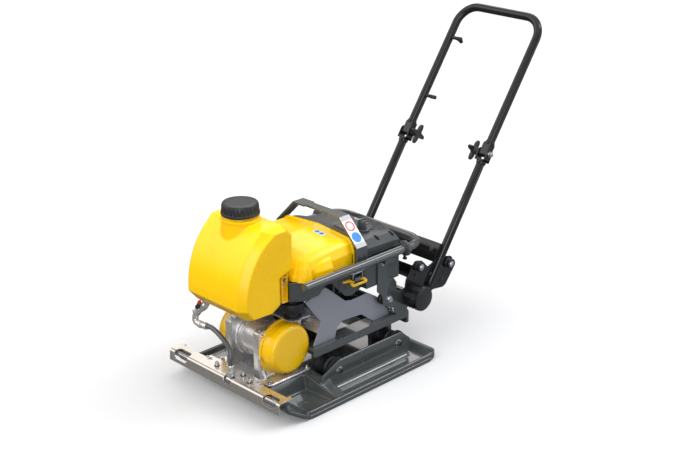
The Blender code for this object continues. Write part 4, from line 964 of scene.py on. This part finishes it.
def battery():
    rings = []
    for y, *_ in LID_STATIONS:
        line = lid_line(y)[::-1]
        corners = list(zip(line, (0.003, 0.004, 0.006, 0.01, 0.02)))
        rings.append(arched([((line[0][0], TRAY_RIM + 0.0046), 0)] + corners, y, 4))
    slots = []
    for y in (0.125, 0.187):
        slot = soft(rect(0.1165, y - 0.006, 0.137, y + 0.006), 0.0058, 6)
        slots.append(prism(slot, "Z", 0.38, 0.42))
    lid = cut_away(loft(rings), slots)
    piece("battery_lid", lid, GREY_PLASTIC, "battery", ["battery_pack"], 28, bevel=0.0009, bevel_angle=40)
    block = prism(soft(rect(-0.12, 0.068, 0.12, 0.19), 0.008, 4), "Z", 0.2665, 0.3645)
    piece("battery_block", block, GREY_PLASTIC, "battery", sharp=30, bevel=0.0015)
    top = lid_height(*DIAL)
    boss = turned([(0, top - 0.004), (0.0235, top - 0.004), (0.0235, top + 0.0012), (0.0225, top + 0.0024),
                   (0.016, top + 0.0028), (0.016, 0.42), (0, 0.42)], (*DIAL, 0), "Z", 64)
    piece("dial_base", boss, GREY_PLASTIC, "battery", sharp=35)
    spot = (0.08, 0.15)
    ring = turned(rect(0.0092, 0.0, 0.0106, 0.0012), (*spot, lid_height(*spot) - 0.0007), "Z", 48, ring=True)
    piece("lid_ring", ring, BLACK_PLASTIC, "battery", sharp=30)
    panel()
    grip_ribs()


def on_lid(outline, lift):
    """A thin sheet that follows the battery lid under a closed (x, y) outline."""
    return skin_over(outline, lid_height, -0.0015, lift)


def panel():
    """Display strip near the rear of the lid, with small lamps."""
    outline = soft(rect(-0.014, 0.15, 0.062, 0.166), 0.002, 3)
    piece("lid_display", on_lid(outline, 0.0005), BLACK_PLASTIC, "battery", sharp=30)
    lamps = [on_lid(rect(x, 0.155, x + 0.006, 0.16), LAMP_LIFT) for x in (0.006, 0.017, 0.028, 0.039, 0.05)]
    piece("lid_lamps", joined(*lamps), WHITE_LABEL, "battery", sharp=30)
    reds = [on_lid(rect(-0.006, 0.155, 0.0, 0.16), LAMP_LIFT),
            on_lid(rect(0.0535, 0.163, 0.0575, 0.1655), LAMP_LIFT)]
    piece("lid_lamp_red", joined(*reds), RED_LABEL, "battery", sharp=30)


def grip_ribs():
    """Raised ribs along the rear of the lid, cut into steps so that they follow its crown."""
    ribs, steps = [], 12
    across = [0.2 * step / steps - 0.1 for step in range(steps + 1)]
    for index in range(4):
        y = 0.17 + index * 0.0075
        outline = [(-x, y) for x in across] + [(x, y + 0.0034) for x in across]
        ribs.append(on_lid(outline, 0.0011))
    piece("lid_ribs", joined(*ribs), GREY_PLASTIC, "battery", sharp=25)


def knob():
    def lobed(radius, height, angle):
        on_side = 0.424 < height < 0.4395 and radius > 0.012
        return radius * (1 + 0.035 * math.cos(angle * 12)) if on_side else radius

    profile = [(0, 0.4206), (0.0128, 0.4206), (0.0134, 0.4214), (0.013, 0.425), (0.013, 0.4385),
               (0.0124, 0.44), (0.0105, 0.4412), (0, 0.4415)]
    disc = turned(profile, (*DIAL, 0), "Z", 96, ripple=lobed)
    grip = prism(soft(rect(0.0715, 0.106, 0.0785, 0.13), 0.003, 4), "Z", 0.4405, 0.4452)
    piece("dial_knob", joined(disc, grip), GREY_PLASTIC, "selector", ["selector_knob"], 35)
    mark = prism(rect(0.0742, 0.1062, 0.0758, 0.112), "Z", 0.4448, 0.4454)
    piece("dial_mark", mark, WHITE_LABEL, "selector", sharp=30)


def latches():
    hinge_x, hinge_z = 0.1546, 0.334
    plate_outline = soft([(-0.01, hinge_z), (-0.012, 0.2985), (0.05, 0.2985), (0.048, hinge_z)], 0.004, 5)
    window = prism(soft(rect(0.006, 0.311, 0.034, 0.3255), 0.003, 4), "X", 0.14, 0.17)
    plate = cut_away(prism(plate_outline, "X", 0.1502, 0.1528), [window])
    outer = soft(rect(0.1512, -0.0115, 0.168, 0.0495), 0.005, 5)
    inner = soft(rect(0.1545, -0.003, 0.164, 0.041), 0.003, 5)
    loop_rings = [[Vector((point.x, point.y, z - (point.x - 0.1512) * 0.36)) for point in outline]
                  for outline, z in ((outer, 0.3024), (outer, 0.3072), (inner, 0.3072), (inner, 0.3024))]
    loop = loft(loop_rings + loop_rings[:1], closed_ends=False)
    wing = prism(soft([(0.1512, -0.037), (0.156, -0.04), (0.164, -0.016), (0.164, -0.0108),
                       (0.1512, -0.0108)], 0.0015, 3), "Z", 0.313, 0.3165)
    knuckles = [rod(0.0042, (hinge_x, start, hinge_z), (hinge_x, start + 0.0185, hinge_z), 20, 0.0006)
                for start in (-0.0118, 0.0099, 0.0313)]
    wire = tube(soft([(0.156, 0.0, 0.31), (0.156, 0.0, 0.329), (0.156, 0.038, 0.329), (0.156, 0.038, 0.31)],
                     0.005, 5, False), 0.0014, 12)
    lever = loft([[Vector((x, y, z)) for x, z in ((0.153, 0.302), (0.1566, 0.301), (0.1585, 0.306),
                                                  (0.1562, 0.315), (0.1534, 0.316))] for y in (0.008, 0.03)])
    for hand, flip in HANDS:
        half = plate.copy()
        if flip is mirrored:
            half.transform(Matrix.Scale(-1, 4, (1, 0, 0)))
            half.flip_normals()
        piece("draw_latch_plate_" + hand, half, BLACK_PLASTIC, "latch_" + hand, ["latch_" + hand], 30,
              bevel=0.0006)
    pair("draw_latch_loop_%s", joined(loop, wing), YELLOW_PAINT, "latch_%s", sharp=30, bevel=0.0005)
    pair("draw_latch_wire_%s", joined(wire, *knuckles), STEEL, "latch_%s", sharp=35)
    pair("draw_latch_lever_%s", lever, DARK_STEEL, "latch_%s", sharp=35)


# ---------------------------------------------------------------- guard, arch and brackets

def guard():
    corners = [(GUARD_X, -0.214, GUARD_Z), (GUARD_X, 0.27, GUARD_Z), (-GUARD_X, 0.27, GUARD_Z),
               (-GUARD_X, -0.214, GUARD_Z)]
    hoop = tube(soft(corners, 0.057, 16, False), GUARD_R, 36)
    cap = turned([(0, -0.001), (GUARD_R - 0.0012, -0.001), (GUARD_R - 0.0003, -0.0006), (GUARD_R, 0.0004),
                  (GUARD_R, 0.002), (0, 0.002)], corners[0], "Y", 36)
    piece("guard_hoop", joined(hoop, both_sides(cap)), GREY_PAINT, "machine", ["guard_tube"], 40)

    def scalloped(radius, height, angle):
        return radius * (1 - 0.09 * abs(math.sin(angle * 4)) ** 3) if radius > 0.016 else radius

    profile = [(GUARD_R + 0.0003, 0.183), (0.021, 0.183), (0.023, 0.1836), (0.0238, 0.185),
               (0.0238, 0.1915), (0.023, 0.193), (0.021, 0.1936), (GUARD_R + 0.0003, 0.1936)]
    clamp = turned(profile, (GUARD_X, 0, GUARD_Z), "Y", 72, ring=True, ripple=scalloped)
    lip = turned([(0.013, 0.179), (0.0165, 0.179), (0.017, 0.1832), (0.013, 0.1832)], (GUARD_X, 0, GUARD_Z),
                 "Y", 48, ring=True)
    foot, top = (GUARD_X, 0.188, GUARD_Z - 0.0285), (GUARD_X, 0.188, GUARD_Z - 0.0215)
    screw = joined(rod(0.0042, foot, top, 20, 0.0006), hexagon(0.0072, foot, (0, 0, -1), 0.0, 0.0055))
    pair("clamp_ring_%s", joined(clamp, lip), GREY_PLASTIC, "machine", "guard_clamp_%s", 35)
    pair("clamp_screw_%s", screw, BLACK_PLASTIC, sharp=30)


def arch():
    refined("lifting_arch", GREY_PAINT, "arch_strap", 0.0009, 2, 25)
    knee, top = Vector((0.169, 0.41)), Vector((0.095, 0.485))
    run = knee - top
    outwards = Vector((-run.y, run.x)).normalized()
    normal = Vector((outwards.x, 0, outwards.y))

    def place(u, y, lift):
        return lay(top + run * u + outwards * lift, "Y", y)

    outline = rect(0.15, 0.0042, 0.86, 0.0438)
    rings = [[place(u, y, lift) for u, y in outline] for lift in (-0.0003, 0.00035)]
    piece("arch_patch", loft(rings), WHITE_LABEL, sharp=30)
    ring = turned(rect(0.0116, 0.0002, 0.016, 0.0006), place(0.335, 0.024, 0.0), normal, 48, ring=True)
    piece("arch_ring", ring, RED_LABEL, sharp=30)
    disc = turned(rect(0, 0.0002, 0.0162, 0.0006), place(0.685, 0.024, 0.0), normal, 48)
    piece("arch_disc", disc, BLUE_LABEL, sharp=30)
    screws = [socket_screw((0.1689, y, 0.381), "X", 0.0048, 0.003, 0.0068) for y in (0.014, 0.034)]
    piece("arch_screws", both_sides(*screws), DARK_STEEL, sharp=30)


def brackets():
    for hand, _ in HANDS:
        refined("rear_bracket_" + hand, GREY_PAINT, "bracket_plate_" + hand, 0.001, 3, 30)
    seat = (0.1542, 0.156, 0.202)
    screws = [hexagon(0.0092, seat, "X", 0.001, 0.0065), turned(rect(0, 0, 0.0105, 0.0013), seat, "X", 24),
              socket_screw((0.1542, 0.126, 0.325), "X", 0.0052, 0.004, 0.0075)]
    for x, y in ((0.117, 0.196), (0.124, 0.22)):
        screws.append(hexagon(0.0078, (x, y, 0.1449), "Z", 0.001, 0.0062))
        screws.append(turned(rect(0, 0, 0.0098, 0.0012), (x, y, 0.1449), "Z", 24))
    piece("bracket_screws", both_sides(*screws), STEEL, sharp=30)
    bush = turned([(0, 0), (0.016, 0), (0.0175, 0.003), (0.0175, 0.01), (0.015, 0.013), (0, 0.013)],
                  (0.1365, 0.137, 0.207), "X", 32)
    piece("bracket_bushes", both_sides(bush), RUBBER, sharp=35)
    axle = rod(0.01, (-0.2, PIVOT.y, PIVOT.z), (0.2, PIVOT.y, PIVOT.z), 40, 0.0012)
    piece("axle_bar", axle, STEEL, "machine", ["pivot_axle"], 30)


# ---------------------------------------------------------------- handle

HANDLE_LOW, HANDLE_HIGH = Vector((0.316, 0.194)), Vector((0.548, 0.535))
HANDLE_RUN = (HANDLE_HIGH - HANDLE_LOW).normalized()
HANDLE_SIDE = Vector((HANDLE_RUN.y, -HANDLE_RUN.x))
BOW_LOW, BOW_TOP = Vector((0.5905, 0.592)), Vector((0.829, 0.93))
FORK_IN, FORK_OUT, FORK_THICK = 0.1415, 0.1792, 0.004


def along_handle(distance):
    return HANDLE_LOW + HANDLE_RUN * distance


def strap(low, high, half, near, far, corner, steps=5):
    """A plate along the handle from one (y, z) point to another, between two x positions."""
    run = (high - low).normalized()
    side = Vector((run.y, -run.x)) * half
    outline = soft([(low + side, 0), (high + side, corner), (high - side, corner), (low - side, 0)], 0.0,
                   steps)
    return prism(outline, "X", near, far)


def lower_handle():
    low, high = along_handle(0.0), along_handle(0.4185)
    pipe = rod(HANDLE_R, (HANDLE_X, *low), (HANDLE_X, *high), 40, 0.0015)
    collar = turned([(0, -0.004), (0.0148, -0.004), (0.0152, -0.003), (0.0152, 0.0055), (0.0145, 0.0065),
                     (0, 0.0065)], (HANDLE_X, *along_handle(0.4115)), (0, *HANDLE_RUN), 40)
    piece("lower_tubes", both_sides(pipe, collar), BLACK_PAINT, "lower_handle", ["lower_handle"], 35)
    cheek_side = [((0.214, 0.2), 0.015), ((0.222, 0.244), 0.006), ((0.24, 0.27), 0.006),
                  ((0.262, 0.294), 0.012), ((0.29, 0.286), 0.01), ((0.318, 0.258), 0.006),
                  ((0.372, 0.276), 0.01), ((0.425, 0.262), 0.014), ((0.442, 0.227), 0.008),
                  ((0.402, 0.177), 0.01), ((0.388, 0.17), 0.01), ((0.343, 0.176), 0.01),
                  ((0.29, 0.16), 0.02), ((0.25, 0.15), 0.02), ((0.214, 0.165), 0.02)]
    cheek = prism(soft(cheek_side, 0.0, 6), "X", 0.1547, 0.1597)
    piece("handle_cheeks", both_sides(cheek), BLACK_PAINT, "lower_handle", sharp=30, bevel=0.0009)
    forks = [strap(along_handle(0.4165), along_handle(0.4218), 0.015, FORK_IN, FORK_OUT, 0.0)]
    for near in (FORK_IN, FORK_OUT - FORK_THICK):
        forks.append(strap(along_handle(0.4165), along_handle(0.458), 0.015, near, near + FORK_THICK,
                           0.0125, 8))
    piece("fold_forks", both_sides(*forks), BLACK_PAINT, "lower_handle", sharp=30, bevel=0.0008)
    cross = [cross_plate(Vector((0.345, 0.265)), Vector((0.3758, 0.3165)), 0.0025),
             cross_plate(Vector((0.266, 0.2285)), Vector((0.2745, 0.268)), 0.0025)]
    piece("handle_cross_plates", joined(*cross), BLACK_PAINT, "lower_handle", sharp=30, bevel=0.0009)
    screws = [socket_screw((0.1596, y, z), "X", 0.0055, 0.0045, 0.008) for y,
              z in ((0.262, 0.247), (0.33, 0.232), (0.38, 0.196))]
    across = Vector((0, *HANDLE_SIDE))
    face = Vector((0.133, 0.3635, 0.2955)) - across * 0.0024
    screws.append(socket_screw(face, -across, 0.005, 0.004, 0.0075))
    piece("handle_screws", both_sides(*screws), DARK_STEEL, "lower_handle", sharp=30)


def cross_plate(low, high, half_thick):
    """A plate across the handle, its section running from one (y, z) point to another."""
    run = (high - low).normalized()
    side = Vector((run.y, -run.x)) * half_thick
    outline = soft([low + side, high + side, high - side, low - side], 0.0012, 3)
    return prism(outline, "X", -0.158, 0.158)


def upper_handle():
    run = (BOW_TOP - BOW_LOW).normalized()
    side = Vector((run.y, -run.x))
    foot = BOW_LOW - run * 0.011
    corners = [(HANDLE_X, *foot), (HANDLE_X, *BOW_TOP), (-HANDLE_X, *BOW_TOP), (-HANDLE_X, *foot)]
    bow = tube(soft(corners, 0.066, 16, False), HANDLE_R, 40)
    collar = turned([(0, -0.002), (0.0146, -0.002), (0.0152, -0.001), (0.0152, 0.0075), (0.0145, 0.0085),
                     (0, 0.0085)], (HANDLE_X, *(foot + run * 0.001)), (0, *run), 40)
    piece("handle_bow", joined(bow, both_sides(collar)), BLACK_PAINT, "upper_handle", ["upper_handle"], 35)
    tongue_in, tongue_out = FORK_IN + FORK_THICK + 0.0005, FORK_OUT - FORK_THICK - 0.0005
    tongue = strap(foot + run * 0.004, BOW_LOW - run * 0.053, 0.0125, tongue_in, tongue_out, 0.011, 8)
    piece("fold_tongues", both_sides(tongue), BLACK_PAINT, "upper_handle", sharp=30, bevel=0.0009)
    peg = [(0, -0.001), (0.0056, -0.001), (0.0056, 0.0155), (0.0044, 0.016), (0.0044, 0.019),
           (0.0062, 0.0198), (0.0062, 0.0252), (0.0046, 0.026), (0.0046, 0.029), (0.0064, 0.0298),
           (0.0064, 0.0385), (0.005, 0.04), (0, 0.04)]
    stub = peg[:7] + [(0.0052, 0.0264), (0, 0.0264)]
    x = HANDLE_R - 0.003 - HANDLE_X
    low, high = BOW_LOW + run * 0.09, BOW_LOW + run * 0.297
    hooks = [turned(peg, (x, *low), "X", 28), turned(peg, (x, *high), "X", 28),
             turned(stub, (x + 0.0225, *high), (0, *side), 28)]
    piece("cable_hooks", joined(*hooks), BLACK_PAINT, "upper_handle", sharp=40)


def hubs():
    face = 0.16

    def fluted(radius, height, angle):
        if radius > 0.0365 and face + 0.003 < height < 0.2062:
            return radius * (1 - 0.018 * (0.5 + 0.5 * math.cos(angle * 16)))
        return radius

    profile = [(0, 0.2115), (0.0345, 0.2115), (0.0361, 0.211), (0.0376, 0.2096), (0.0384, 0.206),
               (0.0385, 0.204), (0.0385, face + 0.0045), (0.038, face + 0.002), (0.037, face),
               (0.0103, face), (0.0103, 0.2015), (0, 0.2015)]
    hub = turned(profile, (0, PIVOT.y, PIVOT.z), "X", 128, ripple=fluted)
    pair("hub_cap_%s", hub, GLOSS_BLACK, "lower_handle", "handle_hub_%s", 30)
    bumper = [(0, 0), (0.015, 0), (0.0158, 0.0008), (0.0158, 0.0046), (0.014, 0.0062), (0.0118, 0.008),
              (0.0118, 0.0098), (0.014, 0.0118), (0.0158, 0.0136), (0.0158, 0.0186), (0.0148, 0.02),
              (0.0108, 0.0204), (0.01, 0.0184), (0, 0.0184)]
    studs = []
    for end, y, z in (("front", 0.268, 0.277), ("rear", 0.404, 0.247)):
        name = "bumper_" + end + "_%s"
        pair(name + "_look", turned(bumper, (face, y, z), "X", 48), RUBBER, "lower_handle", name, 35)
        top = (face + 0.0182, y, z)
        studs.append(turned(rect(0, 0.0, 0.0098, 0.001), top, "X", 32))
        studs.append(hexagon(0.0066, top, "X", 0.0008, 0.0046))
    piece("bumper_studs", both_sides(*studs), STEEL, "lower_handle", sharp=30)


def star_ring(distance, scale, arm):
    """One ring of the four-armed star, its arms standing out by arm."""
    steps = 120
    points = []
    for step in range(steps):
        angle = 2 * math.pi * step / steps
        wave = 0.5 + 0.5 * math.cos(4 * angle - math.radians(200))
        radius = (0.013 + arm * wave ** 1.8) * scale
        points.append(Vector((distance, FOLD.y + radius * math.cos(angle),
                              FOLD.z + radius * math.sin(angle))))
    return points


def star_knobs():
    inner, outer = (FORK_IN, FOLD.y, FOLD.z), (FORK_OUT, FOLD.y, FOLD.z)
    out, back = FORK_IN - 0.031, FORK_IN - 0.019
    head = loft([star_ring(*sizes) for sizes in ((out + 0.0016, 0.5, 0.01), (out + 0.0004, 0.86, 0.0185),
                                                 (out + 0.001, 0.95, 0.02), (out + 0.0028, 0.99, 0.0205),
                                                 (out + 0.006, 1.0, 0.0205), (back - 0.002, 0.98, 0.0205),
                                                 (back, 0.9, 0.02))])
    neck = turned([(0, -0.0195), (0.0135, -0.0195), (0.012, -0.015), (0.0102, -0.01), (0.0092, -0.006),
                   (0.0092, -0.0004), (0, -0.0004)], inner, "X", 40)
    bolt = turned([(0, -0.002), (0.005, -0.002), (0.005, 0.047), (0.0043, 0.048), (0.0026, 0.048),
                   (0.0026, 0.044), (0, 0.044)], inner, "X", 28)
    nut = joined(turned([(0, 0), (0.0092, 0), (0.0096, 0.0005), (0.0096, 0.0012), (0, 0.0016)], outer, "X",
                        32), hexagon(0.0086, outer, "X", 0.0012, 0.007))
    pair("star_knob_%s_head", joined(head, neck), BLACK_PLASTIC, "star_knob_%s", "star_knob_%s", 40)
    pair("star_knob_%s_bolt", joined(bolt, nut), STEEL, "star_knob_%s", sharp=35)


# ---------------------------------------------------------------- camera, light and floor

def camera():
    azimuth, pitch = math.radians(CAMERA_AZIMUTH), math.radians(CAMERA_PITCH)
    back = Vector((math.sin(azimuth) * math.cos(pitch), -math.cos(azimuth) * math.cos(pitch),
                   math.sin(pitch)))
    right = Vector((math.cos(azimuth), math.sin(azimuth), 0))
    turn = Matrix((right, back.cross(right), back)).transposed().to_4x4()
    lens = bpy.data.cameras.new("camera")
    lens.sensor_width = SENSOR_WIDTH
    lens.lens = LENS
    lens.clip_end = 60
    view = placed("camera", lens)
    view.matrix_world = Matrix.Translation(CAMERA_PLACE) @ turn
    bpy.context.scene.camera = view
    bpy.context.scene.view_settings.view_transform = "Standard"
    bpy.context.scene.view_settings.look = "None"


def ranged(tree, value, source, target, kind="LINEAR"):
    """A value moved from one range to another, clamped."""
    node = tree.nodes.new("ShaderNodeMapRange")
    node.interpolation_type = kind
    limits = (("From Min", source[0]), ("From Max", source[1]), ("To Min", target[0]), ("To Max", target[1]))
    for name, number in limits:
        node.inputs[name].default_value = number
    tree.links.new(value, node.inputs["Value"])
    return node.outputs["Result"]


def soft_sun(name, direction, angle, power):
    """A wide sun that lights surfaces without showing in their reflections."""
    data = bpy.data.lights.new(name, "SUN")
    data.energy = power
    data.angle = math.radians(angle)
    lamp = placed(name, data)
    lamp.rotation_euler = Vector(direction).to_track_quat("Z", "Y").to_euler()
    lamp.visible_glossy = False


def see_through_below(look):
    """Shows the floor only from above, so that the underside of the machine can be looked at."""
    nodes, links = look.tree.nodes, look.tree.links
    side = nodes.new("ShaderNodeNewGeometry")
    clear = nodes.new("ShaderNodeBsdfTransparent")
    mix = nodes.new("ShaderNodeMixShader")
    links.new(side.outputs["Backfacing"], mix.inputs[0])
    links.new(look.shader.outputs["BSDF"], mix.inputs[1])
    links.new(clear.outputs["BSDF"], mix.inputs[2])
    links.new(mix.outputs["Shader"], nodes["Material Output"].inputs["Surface"])


def set_surface(name, mesh, look_name, grey, glow):
    """A matt, faintly glowing surface of the set, seen only by the camera."""
    finish = Finish(look_name, (grey, grey, grey), 0.8, specular=0.0)
    socket(finish.shader, "Emission Color", (1, 1, 1, 1))
    socket(finish.shader, "Emission Strength", glow)
    finish.vary_roughness(3, 0.05)
    mesh.materials.append(finish.material)
    surface = placed(name, mesh)
    surface.visible_glossy = False
    surface.visible_diffuse = False
    finish.material.cycles.emission_sampling = "NONE"
    return surface, finish


def sky():
    """Dim sky with soft glows, warmer towards -X and cooler towards +X."""
    world = bpy.data.worlds.new("studio")
    bpy.context.scene.world = world
    world.use_nodes = True
    tree = world.node_tree
    coords = tree.nodes.new("ShaderNodeTexCoord")
    parts = tree.nodes.new("ShaderNodeSeparateXYZ")
    tree.links.new(coords.outputs["Generated"], parts.inputs[0])
    total = ranged(tree, parts.outputs["Z"], (-0.08, 0.1), (GROUND_LEVEL, SKY_LEVEL))
    for direction, inner, outer, bright in GLOWS:
        facing = tree.nodes.new("ShaderNodeVectorMath")
        facing.operation = "DOT_PRODUCT"
        facing.inputs[1].default_value = Vector(direction).normalized()
        tree.links.new(coords.outputs["Generated"], facing.inputs[0])
        limits = (math.cos(math.radians(outer)), math.cos(math.radians(inner)))
        glow = ranged(tree, facing.outputs["Value"], limits, (0.0, bright), "SMOOTHSTEP")
        added = tree.nodes.new("ShaderNodeMath")
        added.operation = "ADD"
        tree.links.new(total, added.inputs[0])
        tree.links.new(glow, added.inputs[1])
        total = added.outputs[0]
    side = tree.nodes.new("ShaderNodeValToRGB")
    side.color_ramp.elements[0].color = (1.0, 0.95, 0.89, 1)
    side.color_ramp.elements[1].color = (0.9, 0.95, 1.04, 1)
    tree.links.new(ranged(tree, parts.outputs["X"], (-1.0, 1.0), (0.0, 1.0)), side.inputs["Fac"])
    background = tree.nodes["Background"]
    tree.links.new(side.outputs["Color"], background.inputs["Color"])
    tree.links.new(total, background.inputs["Strength"])


def studio():
    """Sky, two soft suns seen only by matt surfaces, a pale floor and a white wall all round."""
    sky()
    soft_sun("overhead", (0.35, 0.5, 1.0), 60, OVERHEAD)
    soft_sun("key", (-0.05, -0.75, 0.65), 40, KEY)
    mesh = bpy.data.meshes.new("floor")
    corners = rect(-FLOOR_HALF, -FLOOR_HALF, FLOOR_HALF, FLOOR_HALF)
    mesh.from_pydata([(x, y, 0) for x, y in corners], [], [(0, 1, 2, 3)])
    floor, floor_look = set_surface("floor", mesh, "pale floor", 0.62, FLOOR_GLOW)
    floor.location.z = -0.0003
    see_through_below(floor_look)
    wall = mesh_of("backdrop", *rod(WALL_RADIUS, (0, 0, -WALL_HEIGHT), (0, 0, WALL_HEIGHT), 48))
    backdrop, _ = set_surface("backdrop", wall, "white backdrop", 0.9, WALL_GLOW)
    backdrop.visible_shadow = False
    backdrop.visible_transmission = False


# ---------------------------------------------------------------- build

def build():
    for make in (water_tank, tank_cap, tank_bracket, exciter, sprinkler, water_line, base, buffers,
                 frame_parts, hood, tray, bridge, battery, knob, latches, guard, arch, brackets,
                 lower_handle, upper_handle, hubs, star_knobs):
        make()

dress_cad_nodes()
camera()
studio()
build()
